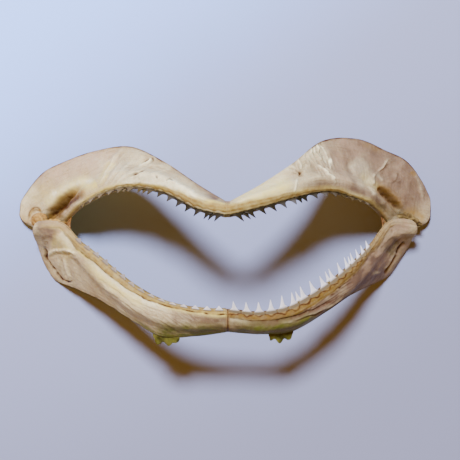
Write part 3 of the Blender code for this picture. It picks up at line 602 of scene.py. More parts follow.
def shapeOf(half, jaw):      # the half's fine surface: points round each ring, and masks
    bodyT = np.linspace(0.009, body["endStart"], body["rings"])
    crowded = np.sin(np.linspace(0, math.pi / 2, body["endRings"])[1:])      # rings crowd towards the end
    t = np.concatenate([bodyT, body["endStart"] + (1 - body["endStart"]) * crowded])
    gum, down, normal, height = archFrames(half, t)
    plate = column(jaw["plate"], t)
    turn = 1 - np.cos(np.linspace(0, math.pi / 2, body["edgeSteps"]))[None, :]
    nearEdge, farEdge = turn * body["gumRound"] + 0 * plate, height[:, None] - turn[:, ::-1] * 0.5 * plate
    share = np.linspace(0, 1, body["faceSteps"] + 2)[None, 1:-1]
    s = np.concatenate([nearEdge, nearEdge[:, -1:] * (1 - share) + farEdge[:, :1] * share, farEdge], axis=1)
    fromRim = height[:, None] - s
    bar = np.minimum(column(jaw["barWidth"], t), body["barShare"] * height[:, None])
    crown = column(jaw["crown"], t) * np.sin(math.pi * s / height[:, None])
    fall = 1.0 / (1.0 + np.exp((s - bar) / (body["shelfEdge"] * bar)))
    labial = plate / 2 + crown
    labial += column(half["labial"], t) * bump(s, jaw["crest"] * bar, body["crestSpread"] * bar)
    labial -= column(half["groove"], t) * bump(s, body["groovePlace"] * bar, body["grooveSpread"] * bar)
    shelf = column(jaw["lingual"], t) * fall * (1 - np.exp(-s / body["gumSlope"]))
    lingual = crown - plate / 2 - shelf
    nearGum = np.clip(s / body["gumRound"], 0, 1)
    nearRim = np.clip(fromRim / (0.5 * plate), 0, 1)
    rounding = np.sqrt(1 - (1 - nearGum) ** 2) * np.sqrt(1 - (1 - nearRim) ** 2)

    def faces(labial, lingual):      # front and back points
        middle, thick = (labial + lingual) / 2, (labial - lingual) / 2 * rounding
        return [gum[:, None] + down[:, None] * s[..., None] + normal[:, None] * away[..., None]
                for away in (middle + thick, middle - thick)]

    relief, paint = weatherAndShade(half, t, s, height, faces(labial, lingual)[0])
    labial = labial + relief
    lingual = np.minimum(lingual + relief * body["backShare"], labial - body["thinnest"])
    front, back = faces(labial, lingual)
    ring = np.concatenate([front, back[:, -2::-1]], axis=1)
    q = np.clip((t - body["endStart"]) / (1 - body["endStart"]), 0, 1)
    closing = np.sqrt(np.maximum(1 - q ** 2, 0.0)) ** 0.8 * (1 - body["closeTo"]) + body["closeTo"]
    centre = ring[:, :-1].mean(axis=1, keepdims=True)
    ring = centre + (ring - centre) * np.where(q > 0, closing, 1.0)[:, None, None]
    least = body["symphysisHalf"] + 0.03 * np.arange(len(t))[:, None]
    ring[..., 0] = np.maximum(ring[..., 0], np.minimum(least, 3.0))
    ring[0, :, 0] = body["symphysisHalf"]
    steps, length = gumLength(half)
    flat = np.stack([np.interp(t, steps, length)[:, None] / 100.0 + 0 * s, s / 25.0], axis=-1)
    turned = {name: np.concatenate([values, values[:, -2::-1]], axis=1) for name, values in paint.items()}
    return {"t": t, "ring": placed(half, ring), "s": s, "masks": turned,
            "flat": np.concatenate([flat, flat[:, -2::-1]], axis=1)}


def deselect():
    if bpy.context.mode != "OBJECT":
        bpy.ops.object.mode_set(mode="OBJECT")
    bpy.ops.object.select_all(action="DESELECT")


def pick(piece):
    deselect()
    piece.select_set(True)
    bpy.context.view_layer.objects.active = piece


def writePoints(piece, points):      # kept inside the CAD model's box, but for what layOnFloor cuts off
    low, high = [np.array(corner) / metres for corner in cadBox]
    points = np.clip(points, (low[0], low[1], -9.0), high)
    piece.data.vertices.foreach_set("co", (points.reshape(-1, 3) * metres).astype(np.float32).ravel())
    piece.data.update()


def writeMask(piece, name, values):
    layer = piece.data.attributes.new(name, "FLOAT", "POINT")
    layer.data.foreach_set("value", values.astype(np.float32).ravel())


def writeFlat(piece, flat):      # the UV map: u runs along the arch and v across it
    loops = np.empty(len(piece.data.loops), dtype=np.int32)
    piece.data.loops.foreach_get("vertex_index", loops)
    piece.data.uv_layers.active.data.foreach_set("uv", flat.reshape(-1, 2)[loops].astype(np.float32).ravel())


def gridPiece(name, rows, columns):      # a flat grid whose vertices run row by row
    deselect()
    bpy.ops.mesh.primitive_grid_add(x_subdivisions=columns - 1, y_subdivisions=rows - 1, size=1)
    piece = bpy.context.object
    piece.name = name
    piece.data.name = name
    return piece


def turnOut(piece):      # faces turned outwards
    pick(piece)
    bpy.ops.object.mode_set(mode="EDIT")
    bpy.ops.mesh.select_all(action="SELECT")
    bpy.ops.mesh.normals_make_consistent(inside=False)
    bpy.ops.object.mode_set(mode="OBJECT")


def closeUp(piece, gap=1e-6):      # welds the seam, fills the open ends, turns faces outwards
    pick(piece)
    bpy.ops.object.mode_set(mode="EDIT")
    bpy.ops.mesh.select_all(action="SELECT")
    bpy.ops.mesh.remove_doubles(threshold=gap)
    bpy.ops.mesh.select_all(action="DESELECT")
    bpy.ops.mesh.select_mode(type="EDGE")
    bpy.ops.mesh.select_non_manifold()
    bpy.ops.mesh.fill_holes(sides=0)
    turnOut(piece)


def layOnFloor(piece):      # cuts off what is under the floor, which leaves the flats it rests on
    pick(piece)
    bpy.ops.object.mode_set(mode="EDIT")
    bpy.ops.mesh.select_all(action="SELECT")
    bpy.ops.mesh.bisect(plane_co=(0, 0, 0), plane_no=(0, 0, 1), clear_inner=True, use_fill=True,
                        threshold=1e-7)
    bpy.ops.object.mode_set(mode="OBJECT")


def addModifier(piece, kind, **values):
    pick(piece)
    bpy.ops.object.modifier_add(type=kind)
    modifier = piece.modifiers[-1]
    for key, value in values.items():
        setattr(modifier, key, value)
    bpy.ops.object.modifier_apply(modifier=modifier.name)


def joined(name, copies):
    deselect()
    for copy in copies:
        copy.select_set(True)
    bpy.context.view_layer.objects.active = copies[0]
    if len(copies) > 1:
        bpy.ops.object.join()
    piece = bpy.context.object
    piece.name = name
    return piece


def dress(piece, finish, node):      # its material, and the node that it stands for
    piece.data.materials.clear()
    piece.data.materials.append(finish)
    pick(piece)
    bpy.ops.object.shade_smooth()
    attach(piece, "root")
    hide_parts(node)
    print(piece.name, len(piece.data.polygons), "faces")


# Materials.


def addNode(tree, kind, settings=(), **inputs):
    node = tree.nodes.new(kind)
    for key, value in dict(settings).items():
        setattr(node, key, value)
    for key, value in inputs.items():
        byNumber = key[0] == "i" and key[1:].isdigit()
        socket = node.inputs[int(key[1:]) if byNumber else key.replace("_", " ")]
        if isinstance(value, bpy.types.NodeSocket):
            tree.links.new(value, socket)
        else:
            socket.default_value = value
    return node


def maths(tree, operation, a, b=0.0, c=0.0):
    return addNode(tree, "ShaderNodeMath", {"operation": operation}, i0=a, i1=b, i2=c).outputs[0]


def spread(tree, value, low, high, toLow=0.0, toHigh=1.0):
    return addNode(tree, "ShaderNodeMapRange", {"interpolation_type": "SMOOTHSTEP"}, i0=value, i1=low,
                   i2=high, i3=toLow, i4=toHigh).outputs[0]


def blended(tree, amount, first, second):
    return addNode(tree, "ShaderNodeMix", {"data_type": "RGBA"}, i0=amount, i6=first, i7=second).outputs[2]


def colour(r, g, b):
    return (r, g, b, 1.0)


def newGroup(name, inputs, outputs):
    group = bpy.data.node_groups.new(name, "ShaderNodeTree")
    for label, kind, value in inputs:
        socket = group.interface.new_socket(label, in_out="INPUT", socket_type="NodeSocket" + kind)
        socket.default_value = value
    for label, kind in outputs:
        group.interface.new_socket(label, in_out="OUTPUT", socket_type="NodeSocket" + kind)
    return group, group.nodes.new("NodeGroupInput"), group.nodes.new("NodeGroupOutput")


def makeStainGroup():      # lays one colour over another, broken up by noise: stains, painted shade and painted highlights
    group, given, made = newGroup("stainAndShadeOver", [
        ("Base", "Color", colour(0.8, 0.8, 0.8)), ("Stain", "Color", colour(0.5, 0.3, 0.1)),
        ("Amount", "Float", 0.5), ("Breakup", "Float", 0.5), ("Scale", "Float", 300.0)],
        [("Color", "Color")])
    place = addNode(group, "ShaderNodeTexCoord").outputs["Object"]
    cloud = addNode(group, "ShaderNodeTexNoise", Vector=place, Scale=given.outputs["Scale"], Detail=5.0,
                    Roughness=0.6).outputs["Fac"]
    loose = spread(group, cloud, 0.35, 0.65, -1.0, 1.0)
    change = maths(group, "MULTIPLY_ADD", loose, given.outputs["Breakup"], 1.0)
    amount = maths(group, "MULTIPLY", given.outputs["Amount"], change)
    amount = addNode(group, "ShaderNodeClamp", Value=amount).outputs[0]
    stained = blended(group, amount, given.outputs["Base"], given.outputs["Stain"])
    group.links.new(stained, made.inputs["Color"])
    return group


def makeGrainGroup():      # the fine mosaic of hard grains in the cartilage's crust
    group, given, made = newGroup("mosaicGrain", [("Scale", "Float", 1300.0)],
                                  [("Edges", "Float"), ("Height", "Float")])
    place = addNode(group, "ShaderNodeTexCoord").outputs["Object"]
    drift = addNode(group, "ShaderNodeTexNoise", Vector=place, Scale=500.0, Detail=2.0).outputs["Color"]
    moved = addNode(group, "ShaderNodeVectorMath", {"operation": "MULTIPLY_ADD"}, i0=drift, i1=(0.0006,) * 3,
                    i2=place).outputs[0]
    cells = addNode(group, "ShaderNodeTexVoronoi", {"feature": "DISTANCE_TO_EDGE"}, Vector=moved,
                    Scale=given.outputs["Scale"]).outputs["Distance"]
    edges = spread(group, cells, 0.0, 0.16)
    cloud = addNode(group, "ShaderNodeTexNoise", Vector=place, Scale=2600.0, Detail=3.0).outputs["Fac"]
    group.links.new(edges, made.inputs["Edges"])
    group.links.new(maths(group, "MULTIPLY_ADD", cloud, 0.5, edges), made.inputs["Height"])
    return group


def makeFibreGroup():      # streaks that run along the arch, read from the piece's UV map
    group, given, made = newGroup("fibreStreaks", [("Along", "Float", 14.0), ("Across", "Float", 60.0)],
                                  [("Streak", "Float")])
    place = addNode(group, "ShaderNodeTexCoord").outputs["UV"]
    parts = addNode(group, "ShaderNodeSeparateXYZ", Vector=place)
    u = maths(group, "MULTIPLY", parts.outputs[0], given.outputs["Along"])
    v = maths(group, "MULTIPLY", parts.outputs[1], given.outputs["Across"])
    stretched = addNode(group, "ShaderNodeCombineXYZ", X=u, Y=v).outputs[0]
    streak = addNode(group, "ShaderNodeTexNoise", Vector=stretched, Scale=1.0, Detail=4.0, Roughness=0.6,
                     Distortion=0.6).outputs["Fac"]
    group.links.new(streak, made.inputs["Streak"])
    return group


stainAndShadeGroup, grainGroup, fibreGroup = makeStainGroup(), makeGrainGroup(), makeFibreGroup()


def grouped(tree, group, **inputs):
    node = tree.nodes.new("ShaderNodeGroup")
    node.node_tree = group
    for key, value in inputs.items():
        if isinstance(value, bpy.types.NodeSocket):
            tree.links.new(value, node.inputs[key])
        else:
            node.inputs[key].default_value = value
    return node


def attribute(tree, name):
    return addNode(tree, "ShaderNodeAttribute", {"attribute_name": name}).outputs["Fac"]


def newFinish(name, **shaderValues):
    finish = bpy.data.materials.new(name)
    finish.use_nodes = True
    shader = finish.node_tree.nodes["Principled BSDF"]
    for key, value in shaderValues.items():
        shader.inputs[key.replace("_", " ")].default_value = value
    return finish, finish.node_tree, shader


def addBump(tree, shader, height, strength, distance):
    node = addNode(tree, "ShaderNodeBump", Strength=strength, Distance=distance, Height=height)
    tree.links.new(node.outputs["Normal"], shader.inputs["Normal"])


cartilageLook = {
    "base": colour(0.65, 0.56, 0.215), "second": colour(0.52, 0.42, 0.155),
    "pink": colour(0.55, 0.385, 0.165),
    "streaks": colour(0.40, 0.29, 0.095), "edge": colour(0.38, 0.27, 0.085),
    "ochre": colour(0.28, 0.165, 0.024),
    # the pale colour is partly the whitish dried tissue and partly painted highlight on ridges and folds
    "olive": colour(0.12, 0.125, 0.013), "pale": colour(0.92, 0.85, 0.36),
    # brown is partly real dark lines, cracks and rims and partly painted shade in creases and hollows
    "brown": colour(0.06, 0.019, 0.003),
    # the next two colours are painted shade, over the faces and along the teeth's roots
    "dusk": colour(0.15, 0.092, 0.038), "rootShade": colour(0.03, 0.023, 0.006),
    "yellow": colour(0.68, 0.56, 0.10),
    "grain": 1300.0, "streak": (9.0, 34.0), "rough": 0.55, "depth": 0.12,
}


def cartilageFinish(name, look):
    finish, tree, shader = newFinish(
        name, Subsurface_Weight=look["depth"], Subsurface_Radius=(1.0, 0.55, 0.28), Subsurface_Scale=0.0012,
        Coat_Weight=0.0, Specular_IOR_Level=0.16, Specular_Tint=colour(1.0, 0.65, 0.25))
    place = addNode(tree, "ShaderNodeTexCoord").outputs["Object"]
    cloud = addNode(tree, "ShaderNodeTexNoise", Vector=place, Scale=90.0, Detail=4.0,
                    Roughness=0.55).outputs["Fac"]
    grain = grouped(tree, grainGroup, Scale=look["grain"])
    streak = grouped(tree, fibreGroup, Along=look["streak"][0], Across=look["streak"][1]).outputs[0]
    shade = blended(tree, spread(tree, cloud, 0.35, 0.65), look["base"], look["second"])
    # The shade and root-shade layers are painted shade, the pale layer partly painted highlight and the
    # brown layer partly painted shade.
    layers = [      # colour, where it lies, how far noise breaks it up, and the noise's scale
        (look["pink"], attribute(tree, "pink"), 0.3, 160.0),
        (look["streaks"], spread(tree, streak, 0.48, 0.70, 0.0, 0.7), 0.7, 200.0),
        (look["edge"], spread(tree, grain.outputs["Edges"], 0.0, 1.0, 0.34, 0.0), 0.8, 300.0),
        (look["dusk"], attribute(tree, "dusk"), 0.2, 190.0),
        (look["yellow"], attribute(tree, "yellow"), 0.3, 240.0),
        (look["pale"], attribute(tree, "pale"), 0.3, 420.0),
        (look["ochre"], attribute(tree, "ochre"), 0.25, 420.0),
        (look["olive"], attribute(tree, "olive"), 0.3, 260.0),
        (look["rootShade"], attribute(tree, "rootShade"), 0.3, 700.0),
        (look["brown"], attribute(tree, "brown"), 0.2, 500.0),
    ]
    for overlay, amount, breakup, scale in layers:
        shade = grouped(tree, stainAndShadeGroup, Base=shade, Stain=overlay, Amount=amount, Breakup=breakup,
                        Scale=scale).outputs[0]
    tree.links.new(shade, shader.inputs["Base Color"])
    rough = spread(tree, cloud, 0.3, 0.7, look["rough"] - 0.08, look["rough"] + 0.1)
    tree.links.new(rough, shader.inputs["Roughness"])
    addBump(tree, shader, maths(tree, "MULTIPLY_ADD", streak, 1.0, grain.outputs["Height"]), 0.35, 0.00012)
    return finish


enamelLook = {
    "base": colour(0.88, 0.86, 0.60), "second": colour(0.72, 0.63, 0.36), "root": colour(0.15, 0.098, 0.010),
    # of the next two colours, the second is painted shade that darkens the upper teeth
    "grey": colour(0.11, 0.10, 0.07), "toothShade": colour(0.016, 0.013, 0.004),
}


def enamelFinish(look):
    finish, tree, shader = newFinish(
        "toothEnamel", Subsurface_Weight=0.15, Subsurface_Radius=(1.0, 0.8, 0.6), Subsurface_Scale=0.0006,
        Coat_Weight=0.0, Roughness=0.4, Specular_IOR_Level=0.14, Specular_Tint=colour(1.0, 0.8, 0.45))
    place = addNode(tree, "ShaderNodeTexCoord").outputs["Object"]
    cloud = addNode(tree, "ShaderNodeTexNoise", Vector=place, Scale=700.0, Detail=3.0).outputs["Fac"]
    shade = blended(tree, spread(tree, cloud, 0.4, 0.75, 0.0, 0.45), look["base"], look["second"])
    for mask in ("root", "grey", "toothShade"):
        shade = blended(tree, attribute(tree, mask), shade, look[mask])
    tree.links.new(shade, shader.inputs["Base Color"])
    addBump(tree, shader, cloud, 0.15, 0.0001)
    return finish


def tissueFinish(name, look):
    finish, tree, shader = newFinish(
        name, Subsurface_Weight=look["depth"], Subsurface_Radius=(1.0, 0.6, 0.15), Subsurface_Scale=0.0012,
        Coat_Weight=0.0, Specular_IOR_Level=0.2, Specular_Tint=colour(1.0, 0.65, 0.25))
    place = addNode(tree, "ShaderNodeTexCoord").outputs["Object"]
    cloud = addNode(tree, "ShaderNodeTexNoise", Vector=place, Scale=420.0, Detail=5.0,
                    Roughness=0.6).outputs["Fac"]
    shade = blended(tree, spread(tree, cloud, 0.38, 0.62), look["light"], look["dark"])
    # the crest colour is painted highlight on raised folds, the hollow colour painted shade in low ones
    for mask, breakup in (("crest", 0.4), ("hollowShade", 0.3)):
        shade = grouped(tree, stainAndShadeGroup, Base=shade, Stain=look[mask], Amount=attribute(tree, mask),
                        Breakup=breakup, Scale=500.0).outputs[0]
    tree.links.new(shade, shader.inputs["Base Color"])
    tree.links.new(spread(tree, cloud, 0.3, 0.7, 0.5, 0.75), shader.inputs["Roughness"])
    addBump(tree, shader, cloud, 0.4, 0.0003)
    return finish


upperFinish = cartilageFinish("driedUpperCartilage", cartilageLook)
lowerFinish = cartilageFinish("driedLowerCartilage", dict(cartilageLook, rough=0.52, streak=(12.0, 38.0)))
padFinish = cartilageFinish("driedSymphysis", dict(cartilageLook, base=colour(0.52, 0.38, 0.20)))
toothFinish = enamelFinish(enamelLook)
jointFinish = tissueFinish("driedLigament", {
    "light": colour(0.40, 0.24, 0.045), "dark": colour(0.24, 0.12, 0.018), "crest": colour(0.52, 0.36, 0.07),
    "hollowShade": colour(0.09, 0.035, 0.008), "depth": 0.15})
crumbFinish = tissueFinish("driedCrumbs", {
    "light": colour(0.15, 0.10, 0.022), "dark": colour(0.06, 0.036, 0.008),
    "crest": colour(0.30, 0.21, 0.05),
    "hollowShade": colour(0.06, 0.035, 0.006), "depth": 0.1})
membraneFinish = tissueFinish("driedMembrane", {
    "light": colour(0.26, 0.135, 0.028), "dark": colour(0.13, 0.055, 0.010),
    "crest": colour(0.40, 0.24, 0.06),
    "hollowShade": colour(0.14, 0.06, 0.015), "depth": 0.3})
remnantFinish = tissueFinish("driedTissue", {
    "light": colour(0.10, 0.10, 0.010), "dark": colour(0.035, 0.034, 0.004),
    "crest": colour(0.17, 0.16, 0.020),
    "hollowShade": colour(0.05, 0.045, 0.006), "depth": 0.15})
print("materials made")

# The halves.


def makeHalf(half, jaw, finish):
    shape = shapeOf(half, jaw)
    ring = shape["ring"]
    piece = gridPiece(half["name"] + "_cartilage", *ring.shape[:2])
    writePoints(piece, ring)
    for name, values in shape["masks"].items():
        writeMask(piece, name, np.clip(values, 0, 1))
    writeFlat(piece, shape["flat"])
    closeUp(piece)
    layOnFloor(piece)
    dress(piece, finish, half["node"])
    return shape


shapes = {}
for half, jaw, finish, slot in ((upperLeft, upperJaw, upperFinish, "upper_cartilage"),
                                (upperRight, upperJaw, upperFinish, "upper_cartilage"),
                                (lowerLeft, lowerJaw, lowerFinish, "lower_cartilage"),
                                (lowerRight, lowerJaw, lowerFinish, "lower_cartilage")):
    shapes[half["name"]] = makeHalf(half, jaw, finish)

# The pads that join the halves at the symphysis.
upperPad = {"columns": 15, "inset": 0.35, "share": 0.975, "swell": 0.25, "seam": 0.25, "tone": 0.5,
            "brown": 0.25}
lowerPad = dict(upperPad, swell=-0.10, seam=0.35, tone=0.35, brown=1.0)


def makePad(name, node, left, right, look):
    share = np.linspace(0, 1, look["columns"])[:, None, None]
    first, last = left["ring"][0], right["ring"][0]
    first, last = first + (-look["inset"], 0, 0), last + (look["inset"], 0, 0)
    ring = first * (1 - share) + last * share
    centre = ring[:, :-1].mean(axis=1, keepdims=True)
    swell = look["share"] + 0.03 * np.sin(math.pi * share) * look["swell"]
    swell = swell - 0.03 * bump(share, 0.5, 0.13) * look["seam"]
    ring[..., 1:] = (centre + (ring - centre) * swell)[..., 1:]
    piece = gridPiece(name, *ring.shape[:2])
    writePoints(piece, ring)
    for mask in masks:
        values = left["masks"][mask][0] * (1 - share[..., 0]) + right["masks"][mask][0] * share[..., 0]
        if mask == "brown":      # the seam between the halves
            values = np.maximum(values, look["brown"] * bump(share[..., 0], 0.5, 0.14))
        if mask == "ochre":
            values = np.maximum(values, look["tone"])
        writeMask(piece, mask, values)
    writeFlat(piece, np.broadcast_to(left["flat"][:1], ring.shape[:2] + (2,)))
    closeUp(piece)
    dress(piece, padFinish, node)


makePad("upper_pad", "upper_symphysis", shapes["upper_left"], shapes["upper_right"], upperPad)
makePad("lower_pad", "lower_symphysis", shapes["lower_left"], shapes["lower_right"], lowerPad)
print("halves joined")

# Teeth. Each ring of a tooth: rise (mm into the gum when negative, else a share of the crown), and
# width and depth as shares of the tooth's width.
toothLook = {"sides": 14, "fill": 0.96, "thick": 1.4, "frontFlat": 0.45, "rootTop": 0.16, "rootFade": 0.12,
             "inset": 0.2, "curl": 0.22}
doubleLook = {"aside": 0.34, "inward": 0.7, "width": 0.8, "tall": (0.74, 0.9), "turn": (-0.12, 0.06)}
spareLook = {"sides": 8, "places": (1.9, 3.7), "shift": (0.5, 0.0), "tall": (0.8, 0.62), "width": 0.86,
             "depth": 0.7, "least": 1.5, "sink": 0.15, "rise": 0.16, "lean": 0.25, "bend": 0.1, "root": 0.8}
toothRings = {
    "upper": [(-1.3, 0.72, 0.70), (-0.9, 0.98, 0.95), (-0.2, 1.04, 1.0), (0.08, 1.0, 0.95),
              (0.15, 0.84, 0.85), (0.22, 0.60, 0.75), (0.34, 0.44, 0.62), (0.50, 0.33, 0.50),
              (0.68, 0.22, 0.38), (0.84, 0.13, 0.25), (0.95, 0.06, 0.14)],
    "lower": [(-1.0, 0.80, 0.60), (-0.6, 1.00, 0.85), (-0.2, 1.04, 0.95), (0.08, 1.04, 0.95),
              (0.16, 0.94, 0.88), (0.22, 0.64, 0.80), (0.30, 0.47, 0.68), (0.45, 0.34, 0.54),
              (0.64, 0.23, 0.40), (0.82, 0.13, 0.26), (0.95, 0.06, 0.14)],
    "worn": [(-0.5, 0.50, 0.40), (-0.15, 0.78, 0.55), (0.08, 0.80, 0.62), (0.25, 0.60, 0.60),
             (0.45, 0.42, 0.52), (0.65, 0.27, 0.40), (0.85, 0.12, 0.24)],
    "spare": [(-0.2, 0.80, 0.9), (0.12, 0.95, 1.0), (0.30, 0.55, 0.7), (0.60, 0.30, 0.45),
              (0.85, 0.12, 0.2)],
}


def makePattern(name, rings, sides):      # a tooth whose vertices lie one level apart, shaped later
    deselect()
    bpy.ops.mesh.primitive_circle_add(vertices=sides, radius=0.5, fill_type="NGON")
    pattern = bpy.context.object
    pattern.name = name
    bpy.ops.object.mode_set(mode="EDIT")
    bpy.ops.mesh.select_all(action="SELECT")
    for ring in rings:
        bpy.ops.mesh.extrude_region_move(TRANSFORM_OT_translate={"value": (0, 0, 1)})
    bpy.ops.mesh.merge(type="CENTER")
    bpy.ops.object.mode_set(mode="OBJECT")
    turnOut(pattern)
    return pattern


patterns = {}
for kind, rings in toothRings.items():
    sides = spareLook["sides"] if kind == "spare" else toothLook["sides"]
    patterns[kind] = makePattern(kind + "Pattern", rings, sides)


def setTooth(half, kind, tooth):      # a copy of the pattern, shaped into one tooth
    pattern, rings = patterns[kind], toothRings[kind]
    local = np.array([v.co for v in pattern.data.vertices])
    level = np.rint(local[:, 2]).astype(int)
    table = np.array(rings + [(1.0, 0.0, 0.0)])
    rise, wide, deep = table[np.minimum(level, len(rings))].T
    up = np.where(rise < 0, rise, rise * tooth["tall"])
    bend = np.maximum(rise, 0.0) ** 2 * tooth["bend"] * tooth["tall"]
    thick = local[:, 1] * toothLook["thick"] * deep * np.where(local[:, 1] > 0, toothLook["frontFlat"], 1.0)
    if kind == "spare":
        thick = thick * spareLook["depth"]
    aside = local[:, 0] * tooth["width"] * wide + bend
    points = (tooth["base"] + np.outer(up, tooth["tip"]) + np.outer(aside, tooth["line"])
              + np.outer(thick, tooth["out"]))
    copy = pattern.copy()
    copy.data = pattern.data.copy()
    bpy.context.collection.objects.link(copy)
    writePoints(copy, placed(half, points))
    rootShare = np.clip(1.0 - (rise - toothLook["rootTop"]) / toothLook["rootFade"], 0, 1) * tooth["root"]
    writeMask(copy, "root", np.maximum(rootShare, tooth["beige"]))
    for mask in ("toothShade", "grey"):
        writeMask(copy, mask, np.full(len(local), tooth[mask]).clip(0, 1))
    return copy


def alongGum(half, t):      # the way that the gum runs at t
    return unit(smoothAlong(half["gum"], t + 0.01) - smoothAlong(half["gum"], t - 0.01))


def makeTeeth(half, jaw, kind):
    draw = np.random.default_rng(half["seed"] + 1)
    t, spacing, share = toothPlaces(half)
    gum, down, normal, height = archFrames(half, t)
    line = alongGum(half, t)
    copies = []
    for i in range(half["teeth"]):
        lean, back, grey = [half[key][0] * (1 - share[i]) + half[key][1] * share[i]
                            for key in ("toothLean", "toothBack", "toothGrey")]
        tall = smoothAlong(half["toothHeight"], share[i]) * draw.uniform(0.94, 1.04)
        # painted shade that darkens the tooth
        toothShade = levelAlong(half["toothShading"], share[i]) * draw.uniform(0.9, 1.08)
        beige = levelAlong(half["toothBeige"], share[i]) * draw.uniform(0.85, 1.0)
        inset = toothLook["inset"] * smoothAlong(jaw["plate"], t[i])
        tip = unit(-down[i] + line[i] * lean - normal[i] * back)
        tooth = {"base": gum[i] + normal[i] * inset, "tip": tip, "line": line[i], "out": normal[i],
                 "tall": tall, "bend": toothLook["curl"] * lean,
                 "width": spacing[i] * toothLook["fill"] * draw.uniform(0.96, 1.04),
                 "toothShade": toothShade, "grey": grey, "root": 0.9, "beige": beige}
        copies.append(setTooth(half, kind, tooth))
        if i in half["doubles"]:      # a second tooth that stands behind the gap
            moved = line[i] * doubleLook["aside"] * spacing[i] + normal[i] * doubleLook["inward"]
            beside = dict(tooth, base=tooth["base"] - moved, width=tooth["width"] * doubleLook["width"],
                          tall=tall * draw.uniform(*doubleLook["tall"]),
                          tip=unit(tooth["tip"] + line[i] * draw.uniform(*doubleLook["turn"])), root=1.0)
            copies.append(setTooth(half, kind, beside))
    row = joined(half["name"] + "_teeth", copies)
    addModifier(row, "SUBSURF", levels=1, render_levels=1)
    turnOut(row)
    dress(row, toothFinish, half["node"])


def makeSpareTeeth(half, shape):      # replacement teeth, lying on the shelf behind the working row
    draw = np.random.default_rng(half["seed"] + 2)
    t, spacing, share = toothPlaces(half)
    across = shape["s"].shape[1]
    backOrder = 2 * (across - 1) - np.arange(across)      # the back's points, from the gum to the rim
    shift = np.array([halfShift[0], halfShift[1], 0.0])
    copies = []
    for row, deep in enumerate(spareLook["places"]):
        places = t[:-1] + (t[1:] - t[:-1]) * spareLook["shift"][row]
        for i, place in enumerate(places):
            k = np.searchsorted(shape["t"], place)
            back = (shape["ring"][k][backOrder] - shift) * (half["side"], 1, 1)
            below, above = [np.array([np.interp(deep + step, shape["s"][k], part) for part in back.T])
                            for step in (-0.3, 0.3)]
            line, tip = alongGum(half, place), unit(above - below)
            out = unit(np.cross(line, tip))
            out *= -np.sign(out @ archFrames(half, np.array([place]))[2][0])
            tall = max(smoothAlong(half["toothHeight"], share[i]), spareLook["least"])
            copies.append(setTooth(half, "spare", {
                "base": below - out * spareLook["sink"],
                "tip": unit(tip + spareLook["rise"] * out + spareLook["lean"] * line),
                "line": line, "out": out,
                "width": spacing[i] * spareLook["width"] * draw.uniform(0.9, 1.0),
                "tall": tall * spareLook["tall"][row] * draw.uniform(0.9, 1.05), "bend": spareLook["bend"],
                "toothShade": 0.0, "grey": 0.0, "root": spareLook["root"], "beige": 0.0}))
    piece = joined(half["name"] + "_spare_teeth", copies)
    turnOut(piece)
    dress(piece, toothFinish, half["node"])


for half, jaw, kind in ((upperLeft, upperJaw, "upper"), (upperRight, upperJaw, "upper"),
                        (lowerLeft, lowerJaw, "worn"), (lowerRight, lowerJaw, "lower")):
    makeTeeth(half, jaw, kind)
    makeSpareTeeth(half, shapes[half["name"]])
for pattern in patterns.values():
    bpy.data.objects.remove(pattern, do_unlink=True)
print("teeth set")

# Dried tissue at the joints and under the lower jaw.


def makeLump(name, node, look, finish, seed):      # a knob of dried tissue with folds
    deselect()
    bpy.ops.mesh.primitive_ico_sphere_add(subdivisions=6, radius=1.0, location=(0, 0, 0))
    piece = bpy.context.object
    piece.name = name
    ball = np.array([v.co for v in piece.data.vertices])
    out = unit(np.array(look["faces"], float))
    longWay = unit(np.cross(np.cross(out, np.array(look["along"], float)), out))
    sideWay = np.cross(out, longWay)
    angle = np.arctan2(ball[:, 1], ball[:, 0])
    wave = 2 * (0.5 + 0.5 * np.sin(look["count"] * angle + look["turn"])) ** 1.6 - 1
    lobes = 1 + look["lobes"] * wave * (1 - np.abs(ball[:, 2]))
    radii = look["radii"]
    spreadOut = longWay * ball[:, :1] * radii[0] + sideWay * ball[:, 1:2] * radii[1]
    points = np.array(look["centre"]) + spreadOut * lobes[:, None] + out * ball[:, 2:] * radii[2]
    reach = np.linalg.norm(ball[:, :2], axis=1)
    folds = np.sin(reach * look["folds"] + 0.6 * ripple(points, 5.0, seed)) * ramp(ball[:, 2], -0.3, 0.3)
    rough = look["fold"] * folds + look["rough"] * ripple(points, look["grain"], seed + 1)
    rough = rough + 0.03 * ripple(points, 1.2, seed + 2)
    moved = (ball @ np.stack([longWay, sideWay, out])) * rough[:, None]
    points = placed({"side": 1}, points + moved)
    points[:, 2] = np.maximum(points[:, 2], 0.0)
    writePoints(piece, points)
    # painted highlight on the folds' crests and painted shade in their hollows
    writeMask(piece, "crest", 0.7 * ramp(rough, 0.0, 0.5))
    writeMask(piece, "hollowShade", 0.6 * ramp(-rough, 0.05, 0.5))
    turnOut(piece)
    dress(piece, finish, node)


